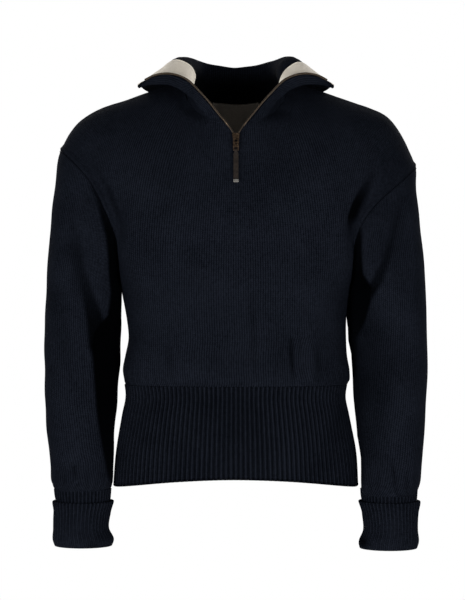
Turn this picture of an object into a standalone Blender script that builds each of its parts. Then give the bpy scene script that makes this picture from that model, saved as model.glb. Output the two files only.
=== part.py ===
"""Fisherman sweater with a quarter zip, filled out as if worn.

Metres, +Z up. The front faces -Y, and +X is to the right as seen from the front.
The origin is in the middle of the neck, where the wearer's shoulders carry the garment.
Each knitted piece is a wall with an outer and an inner face, worked out from tables of
sections and seams. Pieces that are sewn together stay a small gap apart at the seam.
"""

import bmesh
import bpy
import numpy as np

for old in list(bpy.data.objects):
    bpy.data.objects.remove(old, do_unlink=True)

NAME = "fisherman_sweater"
LEFT = -1.0
RIGHT = 1.0
FRONT = -1.0
BACK = 1.0

# Cloth and seams
GAP = 0.0003
KNIT = 0.003
MITRE_LIMIT = 0.55
SQUARENESS = 2.3

# Grid sizes of the body: columns across a panel, rows above the underarm
COLUMNS = 24
MIDDLE = COLUMNS // 2
UPPER_ROWS = 12
SHOULDER_COLUMNS = 6
NECK_FRONT_COLUMNS = 5
NECK_BACK_COLUMNS = 6

# Body from the rib's seam to the underarm: height, half width, depth in front, depth behind,
# and how far its middle lies to the right
BODY_SECTIONS = (
    (-0.4335, 0.1660, 0.1010, 0.0990, 0.0005),
    (-0.4250, 0.1685, 0.1075, 0.1050, 0.0015),
    (-0.4100, 0.1695, 0.1110, 0.1080, 0.0005),
    (-0.3900, 0.1660, 0.1100, 0.1075, 0.0005),
    (-0.3650, 0.1632, 0.1090, 0.1070, 0.0022),
    (-0.3400, 0.1642, 0.1102, 0.1082, 0.0012),
    (-0.3160, 0.1672, 0.1118, 0.1098, 0.0004),
    (-0.2920, 0.1715, 0.1136, 0.1116, 0.0),
)

# Hem rib from its seam to the hem: height, half width, depth in front, depth behind
RIB_SECTIONS = (
    (-0.4335, 0.1655, 0.1005, 0.0985),
    (-0.4490, 0.1635, 0.0985, 0.0965),
    (-0.4780, 0.1690, 0.1005, 0.0980),
    (-0.5250, 0.1768, 0.1048, 0.1015),
    (-0.5840, 0.1820, 0.1075, 0.1045),
)
HEM_RIBS = 66
HEM_RIB_HEIGHT = 0.0018
HEM_INNER_COLUMNS = 22
HEM_RISE_FRONT = 0.017
HEM_RISE_BACK = 0.008

# Shoulder seam from the sleeve to the neck: distance from the middle, depth, height
SHOULDER_START = {
    LEFT: ((0.2640, 0.000, -0.0840), (0.2490, 0.001, -0.0570)),
    RIGHT: ((0.2710, 0.000, -0.1090), (0.2540, 0.001, -0.0700)),
}
SHOULDER_LINE = (
    (0.2300, 0.001, -0.0350),
    (0.2000, 0.002, -0.0185),
    (0.1650, 0.003, -0.0070),
    (0.1200, 0.004, 0.0085),
    (0.0750, 0.005, 0.0210),
)

# Neckline from the neck point forward to the slit, and back to the middle: same columns
NECKLINE_FRONT = (
    (0.0750, 0.005, 0.0210),
    (0.0765, -0.022, 0.0020),
    (0.0670, -0.050, -0.0205),
    (0.0430, -0.076, -0.0420),
    (0.0160, -0.088, -0.0510),
)
SLIT_END = (0.0, -0.0955, -0.0720)
NECKLINE_BACK = (
    (0.0750, 0.005, 0.0210),
    (0.0680, 0.034, 0.0090),
    (0.0430, 0.057, -0.0015),
    (0.0, 0.066, -0.0050),
)

# Armhole from the underarm to the shoulder: distance from the middle, depth, height
ARMHOLE = {
    LEFT: (
        (0.1715, 0.000, -0.2920),
        (0.1714, 0.030, -0.2750),
        (0.1725, 0.050, -0.2470),
        (0.1765, 0.061, -0.2170),
        (0.1850, 0.065, -0.1925),
        (0.1970, 0.067, -0.1660),
        (0.2130, 0.064, -0.1360),
        (0.2370, 0.051, -0.1080),
        (0.2575, 0.028, -0.0890),
        (0.2640, 0.000, -0.0840),
    ),
    RIGHT: (
        (0.1715, 0.000, -0.2920),
        (0.1714, 0.030, -0.2760),
        (0.1722, 0.050, -0.2500),
        (0.1750, 0.062, -0.2230),
        (0.1825, 0.067, -0.2005),
        (0.1970, 0.069, -0.1780),
        (0.2170, 0.065, -0.1570),
        (0.2430, 0.052, -0.1345),
        (0.2645, 0.028, -0.1150),
        (0.2710, 0.000, -0.1090),
    ),
}

# How far the chest and the back stand out between underarm and shoulder, by column from the armhole
SWELL_FRONT = (0, 0.008, 0.018, 0.027, 0.033, 0.034, 0.032, 0.026, 0.020, 0.015, 0.010, 0.007, 0.006)
SWELL_BACK = (0, 0.010, 0.020, 0.029, 0.034, 0.036, 0.034, 0.031, 0.028, 0.026, 0.025, 0.024, 0.024)
SWELL_START = 1.15
SWELL_END = 0.95
EDGE_REACH = 0.42
SWELL_TURN = 1.2
TOP_SOFTENING = 6
TOP_FADE = 5
SOFT_REACH = 5

# Sleeve rings: distance of the outer edge and its height, the same of the inner edge,
# half depth, depth of the middle, and how much of the armhole's own shape the ring keeps
SLEEVE_RINGS = (
    (0.2705, -0.1250, 0.1738, -0.3000, 0.0690, 0.000, 0.85),
    (0.2755, -0.1750, 0.1732, -0.3120, 0.0690, -0.001, 0.55),
    (0.2800, -0.2250, 0.1725, -0.3270, 0.0670, -0.002, 0.28),
    (0.2830, -0.2750, 0.1718, -0.3460, 0.0645, -0.004, 0.10),
    (0.2850, -0.3250, 0.1718, -0.3710, 0.0620, -0.006, 0.0),
    (0.2860, -0.3750, 0.1727, -0.4020, 0.0600, -0.008, 0.0),
    (0.2855, -0.4250, 0.1748, -0.4390, 0.0580, -0.011, 0.0),
    (0.2835, -0.4720, 0.1782, -0.4790, 0.0550, -0.014, 0.0),
    (0.2800, -0.5170, 0.1808, -0.5200, 0.0520, -0.017, 0.0),
    (0.2765, -0.5530, 0.1828, -0.5540, 0.0500, -0.019, 0.0),
    (0.2745, -0.5740, 0.1838, -0.5745, 0.0480, -0.021, 0.0),
    (0.2690, -0.5880, 0.1870, -0.5880, 0.0430, -0.022, 0.0),
)
SLEEVE_SQUARENESS = 2.15
PLAIN_HALF_DEPTH = 0.066
TIP_LEVEL = -0.084
SEAM_LEAN = 0.5

# Cuff, round its section from the sleeve's seam down the outside, under the fold and up the inside:
# height, distance of the middle, half width, half depth, and the height of its ribs
CUFF_ROWS = (
    (-0.5880, 0.2280, 0.0420, 0.0420, 0.0014),
    (-0.6040, 0.2280, 0.0405, 0.0405, 0.0014),
    (-0.6130, 0.2280, 0.0385, 0.0385, 0.0010),
    (-0.6080, 0.2280, 0.0403, 0.0403, 0.0010),
    (-0.6060, 0.2280, 0.0435, 0.0430, 0.0014),
    (-0.6250, 0.2296, 0.0420, 0.0416, 0.0014),
    (-0.6520, 0.2304, 0.0411, 0.0409, 0.0014),
    (-0.6720, 0.2272, 0.0450, 0.0437, 0.0012),
    (-0.6800, 0.2270, 0.0425, 0.0410, 0.0008),
    (-0.6750, 0.2270, 0.0385, 0.0370, 0.0),
    (-0.6400, 0.2300, 0.0360, 0.0360, 0.0),
    (-0.5880, 0.2280, 0.0385, 0.0385, 0.0),
)
CUFF_RIBBED_ROWS = 9
CUFF_RIBS = 46
CUFF_INNER_COLUMNS = 23
CUFF_DEPTH_MIDDLE = -0.022

# Collar, by column from the zip edge to the middle of the back: column, then distance from the
# middle, depth and height of the low stand, high stand, crest of the roll, fall and free edge
COLLAR_HALF = 2 * (NECK_FRONT_COLUMNS + NECK_BACK_COLUMNS)
COLLAR_ROWS = 12
COLLAR_LINES = (
    (0, (0.053, -0.089, -0.007), (0.074, -0.080, 0.0135), (0.100, -0.069, 0.0225),
     (0.126, -0.054, 0.019), (0.144, -0.042, 0.0085)),
    (2, (0.066, -0.077, -0.013), (0.084, -0.069, 0.002), (0.104, -0.058, 0.009),
     (0.127, -0.046, 0.010), (0.144, -0.035, 0.007)),
    (5, (0.068, -0.036, 0.008), (0.073, -0.033, 0.025), (0.091, -0.030, 0.034),
     (0.118, -0.022, 0.024), (0.143, -0.015, 0.0095)),
    (8, (0.064, -0.012, 0.026), (0.069, -0.012, 0.042), (0.084, -0.010, 0.050),
     (0.111, -0.005, 0.035), (0.141, 0.002, 0.012)),
    (12, (0.064, 0.022, 0.030), (0.067, 0.023, 0.047), (0.077, 0.026, 0.0575),
     (0.102, 0.036, 0.040), (0.132, 0.047, 0.010)),
    (17, (0.045, 0.059, 0.020), (0.047, 0.061, 0.044), (0.053, 0.067, 0.0565),
     (0.068, 0.080, 0.036), (0.081, 0.086, -0.008)),
    (22, (0.0, 0.068, 0.016), (0.0, 0.070, 0.037), (0.0, 0.077, 0.0475),
     (0.0, 0.088, 0.028), (0.0, 0.096, -0.022)),
)

# Facings, tapes and label
FACING = 0.0012
FACING_COLUMNS = 8
FACING_FOOT = 0.35
FACING_SIDE = 0.10
TAPE_WIDTH = 0.0024
TAPE_THICKNESS = 0.0014
LABEL = 0.0008
LABEL_COLUMNS = 2
LABEL_ROWS = 3
LABEL_TOP = 0.12

# Slider: in a frame that hangs along the chest from its top edge
SLIDER_TOP = -0.0655
SLIDER_HEIGHT = 0.0105
SLIDER_WIDTH_TOP = 0.0115
SLIDER_WIDTH_FOOT = 0.0085
SLIDER_BACK = 0.0004
SLIDER_FRONT = 0.0044
SLIDER_TAPER = 0.0010
SLIDER_CORNER = 0.0018
SLIDER_EDGE = 0.0006
BRIDGE_WIDTH = 0.0022
BRIDGE_TOP = 0.0035
BRIDGE_FOOT = 0.0103
BRIDGE_FRONT = 0.0069
BRIDGE_WALL = 0.0009
BRIDGE_ROOT = 0.0020

# Pull plate: in a frame that hangs from its top bar, which turns in the slider's bridge
HINGE_DROP = 0.0084
HINGE_OUT = 0.0050
PULL_TILT = 2.4
PULL_WIDTH = 0.0086
PULL_LENGTH = 0.0190
PULL_THICKNESS = 0.0013
PULL_CORNER = 0.0014
PULL_EDGE = 0.0002
SLOT_WIDTH = 0.0040
SLOT_HEIGHT = 0.0042
HOLE_DROP = 0.0080
HOLE_RADIUS = 0.0012
HOLE_STEPS = 12
WINDOW_WIDTH = 0.0050
WINDOW_TOP = 0.0133
WINDOW_FOOT = 0.0167

# Leather strip through the plate's window, and the ferrule on its end
LEATHER_CLEAR = 0.00035
LOOP_WIDTH = 0.0043
LOOP_TOP = 0.0150
LOOP_DEPTH = 0.0036
STRAP_WIDTH = 0.0074
STRAP_THICKNESS = 0.0026
STRAP_LENGTH = 0.0410
STRAP_EDGE = 0.0005
STRAP_CORNER = 0.0008
TIP_WIDTH = 0.0078
TIP_THICKNESS = 0.0032
TIP_HEIGHT = 0.0045

# Large soft folds: piece, distance from the middle and height at the top, the same at the foot,
# half width, and how far the cloth stands out there (in, where negative)
FOLDS = (
    (FRONT, 0.0230, -0.300, 0.0345, -0.420, 0.018, -0.0040),
    (FRONT, 0.0870, -0.345, 0.0855, -0.424, 0.014, -0.0050),
    (FRONT, 0.1080, -0.350, 0.1060, -0.424, 0.014, 0.0030),
    (FRONT, -0.0720, -0.360, -0.0690, -0.424, 0.018, 0.0030),
    (FRONT, -0.1200, -0.345, -0.1140, -0.424, 0.015, -0.0030),
    (FRONT, 0.1380, -0.335, 0.1340, -0.424, 0.015, -0.0030),
    (FRONT, -0.2000, -0.135, -0.1720, -0.200, 0.014, -0.0060),
    (FRONT, 0.2000, -0.150, 0.1780, -0.205, 0.014, -0.0080),
    (BACK, -0.0300, -0.310, -0.0380, -0.420, 0.018, -0.0040),
    (BACK, 0.0650, -0.335, 0.0600, -0.424, 0.016, -0.0045),
    (BACK, -0.1000, -0.340, -0.0950, -0.424, 0.016, 0.0035),
    (BACK, 0.1240, -0.340, 0.1180, -0.424, 0.015, -0.0030),
    (BACK, -0.1980, -0.135, -0.1750, -0.205, 0.014, -0.0060),
    (BACK, 0.1980, -0.150, 0.1780, -0.205, 0.014, -0.0060),
)

FOLD_FADE = 0.02

# Large soft folds of a sleeve's front and back: first ring and last ring, place round the ring
# at both (0 at the inner edge, 1 at the outer edge), half width, and rise
SLEEVE_FOLDS = {
    LEFT: (
        (FRONT, 1, 6, 0.72, 0.30, 0.16, -0.0060),
        (FRONT, 3, 9, 0.30, 0.12, 0.14, -0.0050),
        (FRONT, 9, 12, 0.50, 0.52, 0.08, -0.0030),
        (BACK, 2, 7, 0.66, 0.34, 0.16, -0.0060),
        (BACK, 9, 12, 0.44, 0.42, 0.10, -0.0035),
    ),
    RIGHT: (
        (FRONT, 1, 7, 0.74, 0.34, 0.16, -0.0060),
        (FRONT, 3, 8, 0.26, 0.14, 0.14, -0.0045),
        (FRONT, 9, 12, 0.56, 0.54, 0.08, -0.0030),
        (BACK, 2, 6, 0.60, 0.30, 0.16, -0.0060),
        (BACK, 9, 12, 0.50, 0.46, 0.10, -0.0035),
    ),
}

COLLECTION = bpy.data.collections.new(NAME)
CUTTERS = bpy.data.collections.new(NAME + "_cutters")
bpy.context.scene.collection.children.link(COLLECTION)
bpy.context.scene.collection.children.link(CUTTERS)


# Curves and grids

def unit(vectors):
    """The vectors at length one."""
    return vectors / np.linalg.norm(vectors, axis=-1, keepdims=True)


def curve_through(keys, rows, at):
    """Smooth values between a table's rows, with slopes taken from their neighbours."""
    keys = np.asarray(keys, float)
    rows = np.asarray(rows, float).reshape(len(keys), -1)
    at = np.asarray(at, float)
    slopes = np.gradient(rows, keys, axis=0)
    cell = np.clip(np.searchsorted(keys, at, side="right") - 1, 0, len(keys) - 2)
    width = (keys[cell + 1] - keys[cell])[:, None]
    part = (at - keys[cell])[:, None] / width
    rest = 1 - part
    start = (1 + 2 * part) * rest**2 * rows[cell]
    end = part**2 * (3 - 2 * part) * rows[cell + 1]
    bend = part * rest * width * (rest * slopes[cell] - part * slopes[cell + 1])
    return start + end + bend


def lengths_along(points):
    """Distance of each point from the first, along the line."""
    steps = np.linalg.norm(np.diff(points, axis=0), axis=1)
    return np.concatenate([[0.0], np.cumsum(steps)])


def even_steps(points, count):
    """The same line with equal steps."""
    run = lengths_along(points)
    places = np.linspace(0, run[-1], count + 1)
    return np.column_stack([np.interp(places, run, points[:, k]) for k in range(points.shape[1])])


def smooth_line(controls, count):
    """A smooth line through the control points, cut into equal steps."""
    controls = np.asarray(controls, float)
    run = lengths_along(controls)
    dense = curve_through(run, controls, np.linspace(0, run[-1], 40 * len(controls)))
    line = even_steps(dense, count)
    line[0] = controls[0]
    line[-1] = controls[-1]
    return line


def half_section(half_width, depth, height, side, count):
    """Half of a torso section in equal steps, from the left side seam to the right one."""
    turn = np.linspace(np.pi, 0, 721)
    x = half_width * np.sign(np.cos(turn)) * np.abs(np.cos(turn)) ** (2 / SQUARENESS)
    y = side * depth * np.clip(np.sin(turn), 0, 1) ** (2 / SQUARENESS)
    return even_steps(np.column_stack([x, y, np.full_like(x, height)]), count)


def softened(line, times):
    """The line with its corners worn down, its ends kept."""
    line = line.copy()
    for _ in range(times):
        line[1:-1] = (line[:-2] + 2 * line[1:-1] + line[2:]) / 4
    return line


def grid_normals(grid, closed):
    """Unit normals of a grid of points, across and then up."""
    if closed:
        across = np.roll(grid, -1, axis=1) - np.roll(grid, 1, axis=1)
    else:
        across = np.gradient(grid, axis=1)
    return unit(np.cross(across, np.gradient(grid, axis=0)))


def mitre(first, second, lean):
    """Steps from the outer to the inner face at a seam between two walls."""
    way = unit(first + second + lean)
    reach = np.maximum(np.abs(np.sum(way * first, axis=-1, keepdims=True)), MITRE_LIMIT)
    return -KNIT * way / reach


def parting(points, steps, toward):
    """Half a gap's shift off a seam, square to its faces, on the side that is given."""
    shift = unit(np.cross(np.gradient(points, axis=0), steps))
    side = np.sign(shift @ np.asarray(toward, float))
    return shift * side[:, None] * GAP / 2


# Meshes and materials

def material(name, colour, roughness, metallic):
    """A plain surface finish."""
    finish = bpy.data.materials.new(name)
    finish.use_nodes = True
    surface = finish.node_tree.nodes["Principled BSDF"]
    surface.inputs["Base Color"].default_value = (*colour, 1.0)
    surface.inputs["Roughness"].default_value = roughness
    surface.inputs["Metallic"].default_value = metallic
    return finish


WOOL = material("navy_wool", (0.008, 0.010, 0.019), 0.92, 0.0)
COTTON = material("cream_cotton", (0.64, 0.58, 0.49), 0.85, 0.0)
TAPE = material("taupe_tape", (0.16, 0.12, 0.09), 0.80, 0.0)
WOVEN = material("taupe_label", (0.21, 0.18, 0.15), 0.80, 0.0)
BRASS = material("antique_brass", (0.30, 0.20, 0.11), 0.38, 1.0)
LEATHER = material("brown_leather", (0.030, 0.020, 0.015), 0.60, 0.0)
STEEL = material("bright_metal", (0.55, 0.52, 0.48), 0.30, 1.0)


def make_object(name, points, faces, finish):
    """One closed mesh, its faces outward."""
    mesh = bpy.data.meshes.new(name)
    mesh.from_pydata([tuple(p) for p in points], [], faces)
    work = bmesh.new()
    work.from_mesh(mesh)
    bmesh.ops.triangulate(work, faces=work.faces[:])
    bmesh.ops.recalc_face_normals(work, faces=work.faces[:])
    work.to_mesh(mesh)
    work.free()
    mesh.shade_smooth()
    mesh.set_sharp_from_angle(angle=np.radians(50))
    mesh.materials.append(finish)
    thing = bpy.data.objects.new(name, mesh)
    COLLECTION.objects.link(thing)
    return thing


def wall(name, outer, inner, closed, finish):
    """A wall between two grids of points, closed round its edges."""
    rows, columns = outer.shape[:2]
    total = rows * columns
    last = columns if closed else columns - 1
    faces = []

    def at(layer, row, column):
        return layer * total + row * columns + column % columns

    for row in range(rows - 1):
        for column in range(last):
            ring = [(row, column), (row, column + 1), (row + 1, column + 1), (row + 1, column)]
            faces.append([at(0, *place) for place in ring])
            faces.append([at(1, *place) for place in reversed(ring)])
    for column in range(last):
        for row in (0, rows - 1):
            ends = [(0, column), (0, column + 1), (1, column + 1), (1, column)]
            faces.append([at(layer, row, place) for layer, place in ends])
    if not closed:
        for row in range(rows - 1):
            for column in (0, columns - 1):
                ends = [(0, row), (0, row + 1), (1, row + 1), (1, row)]
                faces.append([at(layer, place, column) for layer, place in ends])
    points = np.concatenate([outer.reshape(-1, 3), inner.reshape(-1, 3)])
    return make_object(name, points, faces, finish)


def bridge(fine, coarse):
    """Triangles between a line of points and another with a whole fraction of its steps."""
    times = (len(fine) - 1) // (len(coarse) - 1)
    faces = []
    for step in range(len(coarse) - 1):
        first = step * times
        middle = first + times // 2
        for k in range(first, first + times):
            near = coarse[step] if k < middle else coarse[step + 1]
            faces.append([fine[k], fine[k + 1], near])
        faces.append([coarse[step], fine[middle], coarse[step + 1]])
    return faces


def band(lines):
    """Faces between neighbouring lines of points of a wall's section, which may change count once."""
    faces = []
    for first, second in zip(lines[:-1], lines[1:]):
        if len(first) == len(second):
            for k in range(len(first) - 1):
                faces.append([first[k], first[k + 1], second[k + 1], second[k]])
        elif len(first) > len(second):
            faces.extend(bridge(first, second))
        else:
            faces.extend(bridge(second, first))
    return faces


def ribbed_wall(name, rows, closed, finish):
    """A wall from the lines of points round its section, the last joined to the first."""
    lines = []
    points = []
    for row in rows:
        start = len(points)
        points.extend(row)
        line = list(range(start, start + len(row)))
        lines.append(line + [start] if closed else line)
    faces = band(lines + [lines[0]])
    if not closed:
        faces.append([line[0] for line in lines])
        faces.append([line[-1] for line in lines])
    return make_object(name, points, faces, finish)


# Body: outer faces of front and back

def fold_push(side, grid):
    """How far the large folds move each point of a panel outward."""
    push = np.zeros(grid.shape[:2])
    for piece, x_top, z_top, x_foot, z_foot, half, rise in FOLDS:
        if piece != side:
            continue
        along = np.clip((z_top - grid[..., 2]) / (z_top - z_foot), 0, 1)
        near = grid[..., 0] - (x_top + (x_foot - x_top) * along)
        fade = np.clip((z_top + 0.03 - grid[..., 2]) / 0.06, 0, 1)
        below = np.clip((grid[..., 2] - z_foot + FOLD_FADE) / FOLD_FADE, 0, 1)
        push += rise * np.exp(-((near / half) ** 2)) * fade * below
    return push


def body_panel(side):
    """Outer points of the front or the back, from the rib's seam up to shoulder and neck."""
    depth_column = 2 if side == FRONT else 3
    lower = []
    for row in BODY_SECTIONS:
        line = half_section(row[1], row[depth_column], row[0], side, COLUMNS)
        lower.append(line + (row[-1], 0, 0))
    edges = {}
    tops = {}
    for hand in (LEFT, RIGHT):
        scale = np.array([hand, side, 1.0])
        edges[hand] = smooth_line(ARMHOLE[hand], UPPER_ROWS) * scale
        shoulder = np.array(SHOULDER_START[hand] + SHOULDER_LINE)
        if side == FRONT:
            neck = smooth_line(NECKLINE_FRONT, NECK_FRONT_COLUMNS)
            neck = np.vstack([neck, SLIT_END])
        else:
            neck = smooth_line(NECKLINE_BACK, NECK_BACK_COLUMNS)
        tops[hand] = np.vstack([shoulder, neck[1:]]) * np.array([hand, 1.0, 1.0])
    top = np.vstack([tops[LEFT], tops[RIGHT][-2::-1]])
    bottom = lower[-1]
    across = np.linspace(0, 1, COLUMNS + 1)[None, :, None]
    up = np.linspace(0, 1, UPPER_ROWS + 1)[:, None, None]
    beside = np.abs(np.abs(np.arange(COLUMNS + 1) - MIDDLE) - (MIDDLE - SHOULDER_COLUMNS))
    near_neck = np.clip((SOFT_REACH - beside) / 2, 0, 1)[:, None]
    soft = top + near_neck * (softened(top, TOP_SOFTENING) - top)
    patch = (1 - up) * bottom[None] + up * soft[None] + up**TOP_FADE * (top - soft)[None]
    bends = {LEFT: edges[LEFT] - patch[:, 0], RIGHT: edges[RIGHT] - patch[:, -1]}
    for hand, from_edge in ((LEFT, across), (RIGHT, 1 - across)):
        patch = patch + np.clip(1 - from_edge / EDGE_REACH, 0, 1) ** 2 * bends[hand][:, None]
    half = np.array(SWELL_FRONT if side == FRONT else SWELL_BACK)
    most = SWELL_START / (SWELL_START + SWELL_END)
    shape = (up / most) ** SWELL_START * ((1 - up) / (1 - most)) ** SWELL_END
    swell = np.concatenate([half, half[-2::-1]])[None, :] * shape[..., 0]
    lean = SWELL_TURN * up[..., 0] ** 2
    patch[..., 1] += side * swell * np.cos(lean)
    patch[..., 2] += swell * np.sin(lean)
    grid = np.concatenate([np.array(lower), patch[1:]])
    push = fold_push(side, grid)
    push[:, (0, -1)] = 0
    push[(0, -1), :] = 0
    return grid + grid_normals(grid, False) * -side * push[..., None]


LOWER = len(BODY_SECTIONS) - 1
front = body_panel(FRONT)
back = body_panel(BACK)
front_out = grid_normals(front, False)
back_out = -grid_normals(back, False)


# Sleeves: outer faces

def armhole_loop(hand):
    """The armhole's points from the underarm up the front and down the back."""
    column = 0 if hand == LEFT else -1
    return np.concatenate([front[LOWER:, column], back[LOWER:, column][-2:0:-1]])


def oval(hand, outer, inner, half_depth, middle):
    """A sleeve ring between its inner and outer edge, in the loop's order."""
    turn = np.linspace(0, 2 * np.pi, 2 * UPPER_ROWS, endpoint=False)
    centre = (np.array(outer) + np.array(inner)) / 2
    arm = (np.array(outer) - np.array(inner)) / 2
    power = 2 / SLEEVE_SQUARENESS
    reach = -np.sign(np.cos(turn)) * np.abs(np.cos(turn)) ** power
    deep = -np.sign(np.sin(turn)) * np.abs(np.sin(turn)) ** power
    x = hand * (centre[0] + arm[0] * reach)
    z = centre[1] + arm[1] * reach
    return np.column_stack([x, middle + half_depth * deep, z])


def sleeve_rings(hand):
    """Outer points of a sleeve, ring by ring from the armhole to the cuff."""
    loop = armhole_loop(hand)
    tip = ARMHOLE[hand][-1]
    pit = ARMHOLE[hand][0]
    plain = oval(hand, (tip[0], tip[2]), (pit[0], pit[2]), PLAIN_HALF_DEPTH, 0.0)
    rings = [loop]
    for outer_x, outer_z, inner_x, inner_z, half_depth, middle, keep in SLEEVE_RINGS:
        lower_tip = (tip[2] - TIP_LEVEL) * keep
        ring = oval(hand, (outer_x, outer_z + lower_tip), (inner_x, inner_z), half_depth, middle)
        rings.append(ring + keep * (loop - plain))
    rings = np.array(rings)
    place = np.abs(np.linspace(0, 2, 2 * UPPER_ROWS, endpoint=False))
    place = np.where(place > 1, 2 - place, place)
    facing = np.where(np.arange(2 * UPPER_ROWS) <= UPPER_ROWS, FRONT, BACK)
    push = np.zeros(rings.shape[:2])
    for side, first, last, near_first, near_last, half, rise in SLEEVE_FOLDS[hand]:
        for row in range(first, last):
            part = (row - first + 0.5) / (last - first)
            near = place - (near_first + (near_last - near_first) * part)
            push[row] += rise * np.sin(np.pi * part) ** 0.5 * np.exp(-((near / half) ** 2)) * (facing == side)
    push[0] = 0
    out = sleeve_normals(rings, hand)
    return rings + out * push[..., None]


def sleeve_normals(rings, hand):
    """Outward normals of a sleeve's rings."""
    return grid_normals(rings, True) * -hand


# Collar: outer face

def collar_base():
    """The neckline from the left edge of the slit round the back to the right edge."""
    front_left = front[-1, SHOULDER_COLUMNS:MIDDLE][::-1]
    front_right = front[-1, MIDDLE + 1:COLUMNS - SHOULDER_COLUMNS + 1][::-1]
    behind = back[-1, SHOULDER_COLUMNS:COLUMNS - SHOULDER_COLUMNS + 1]
    coarse = np.vstack([front_left, behind[1:-1], front_right])
    return coarse


def doubled(rows):
    """The rows with a middle between each two neighbours."""
    fine = np.empty((2 * len(rows) - 1, rows.shape[1]))
    fine[::2] = rows
    fine[1::2] = (rows[:-1] + rows[1:]) / 2
    return fine


def collar_grid(base):
    """Outer points of the collar: rows up from the neckline, columns round the neck."""
    keys = [line[0] for line in COLLAR_LINES]
    table = np.array([line[1:] for line in COLLAR_LINES])
    keys.append(2 * keys[-1] - keys[-2])
    table = np.concatenate([table, table[-2:-1] * np.array([-1, 1, 1])])
    half = curve_through(keys, table, np.arange(COLLAR_HALF + 1)).reshape(COLLAR_HALF + 1, -1, 3)
    left = half * np.array([LEFT, 1, 1])
    right = half[-2::-1]
    controls = np.concatenate([left, right])
    lines = [smooth_line(np.vstack([start, line]), COLLAR_ROWS) for start, line in zip(base, controls)]
    return np.array(lines).transpose(1, 0, 2)


neck_points = collar_base()
collar = collar_grid(doubled(neck_points))
collar_out = -grid_normals(collar, False)


# Seams: each has one step from the outer to the inner face for both of its pieces, and a shift apart

front_step = -KNIT * front_out
back_step = -KNIT * back_out
front_shift = np.zeros_like(front)
back_shift = np.zeros_like(back)

for column in (0, -1):
    rows = slice(0, LOWER + 1)
    steps = mitre(front_out[rows, column], back_out[rows, column], 0.0)
    shift = parting(front[rows, column], steps, (0, FRONT, 0))
    front_step[rows, column] = steps
    back_step[rows, column] = steps
    front_shift[rows, column] += shift
    back_shift[rows, column] -= shift

for columns in (slice(0, SHOULDER_COLUMNS + 1), slice(COLUMNS - SHOULDER_COLUMNS, COLUMNS + 1)):
    steps = mitre(front_out[-1, columns], back_out[-1, columns], 0.0)
    shift = parting(front[-1, columns], steps, (0, FRONT, 0))
    front_step[-1, columns] = steps
    back_step[-1, columns] = steps
    front_shift[-1, columns] += shift
    back_shift[-1, columns] -= shift

sleeves = {}
sleeve_steps = {}
for hand in (LEFT, RIGHT):
    column = 0 if hand == LEFT else -1
    rings = sleeve_rings(hand)
    steps = -KNIT * sleeve_normals(rings, hand)
    behind = back_out[LOWER:, column][-2:0:-1]
    body_out = np.concatenate([front_out[LOWER:, column], behind])
    body_out[0] = unit(front_out[LOWER, column] + back_out[LOWER, column])
    body_out[UPPER_ROWS] = unit(front_out[-1, column] + back_out[-1, column])
    loop = rings[0]
    lean = SEAM_LEAN * unit(loop - loop.mean(axis=0))
    steps[0] = mitre(body_out, sleeve_normals(rings, hand)[0], lean)
    ring = np.vstack([loop[-1], loop, loop[0]])
    around = np.vstack([steps[0][-1], steps[0], steps[0][0]])
    shift = parting(ring, around, (hand, 0, -0.3))[1:-1]
    back_order = [0] + list(range(2 * UPPER_ROWS - 1, UPPER_ROWS - 1, -1))
    front_step[LOWER:, column] = steps[0][:UPPER_ROWS + 1]
    back_step[LOWER:, column] = steps[0][back_order]
    front_shift[LOWER:, column] -= shift[:UPPER_ROWS + 1]
    back_shift[LOWER:, column] -= shift[back_order]
    rings[0] += shift
    sleeves[hand] = rings
    sleeve_steps[hand] = steps


def neck_order(front_rows, back_rows):
    """Values along the neckline from the two panels' top rows, in the collar's order."""
    left = front_rows[SHOULDER_COLUMNS:MIDDLE][::-1]
    right = front_rows[MIDDLE + 1:COLUMNS - SHOULDER_COLUMNS + 1][::-1]
    behind = back_rows[SHOULDER_COLUMNS + 1:COLUMNS - SHOULDER_COLUMNS]
    return np.vstack([left, behind, right])


last_front = NECK_FRONT_COLUMNS + 1
last_back = len(neck_points) - last_front
body_out = neck_order(front_out[-1], back_out[-1])
for place, column in ((last_front - 1, SHOULDER_COLUMNS), (last_back, COLUMNS - SHOULDER_COLUMNS)):
    body_out[place] = unit(front_out[-1, column] + back_out[-1, column])
neck_steps = mitre(body_out, collar_out[0, ::2], 0.0)
neck_shift = parting(neck_points, neck_steps, (0, 0, 1))
front_step[-1, SHOULDER_COLUMNS:MIDDLE] = neck_steps[:last_front][::-1]
front_step[-1, MIDDLE + 1:COLUMNS - SHOULDER_COLUMNS + 1] = neck_steps[last_back:][::-1]
back_step[-1, SHOULDER_COLUMNS:COLUMNS - SHOULDER_COLUMNS + 1] = neck_steps[last_front - 1:last_back + 1]
front_shift[-1, SHOULDER_COLUMNS:MIDDLE] -= neck_shift[:last_front][::-1]
front_shift[-1, MIDDLE + 1:COLUMNS - SHOULDER_COLUMNS + 1] -= neck_shift[last_back:][::-1]
back_shift[-1, SHOULDER_COLUMNS:COLUMNS - SHOULDER_COLUMNS + 1] -= neck_shift[last_front - 1:last_back + 1]
collar_step = -KNIT * collar_out
collar_step[0] = doubled(neck_steps)
collar[0] += doubled(neck_shift)


def level(steps):
    """Steps turned level, at the wall's thickness."""
    flat = steps * np.array([1, 1, 0])
    return KNIT * unit(flat)


front_step[0] = level(front_step[0])
back_step[0] = level(back_step[0])
front_shift[0, :, 2] += GAP / 2
back_shift[0, :, 2] += GAP / 2


# Body, sleeves and collar

front_outer = front + front_shift
front_inner = front_outer + front_step
back_outer = back + back_shift
back_inner = back_outer + back_step
wall("body_front", front_outer, front_inner, False, WOOL)
wall("body_back", back_outer, back_inner, False, WOOL)

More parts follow.
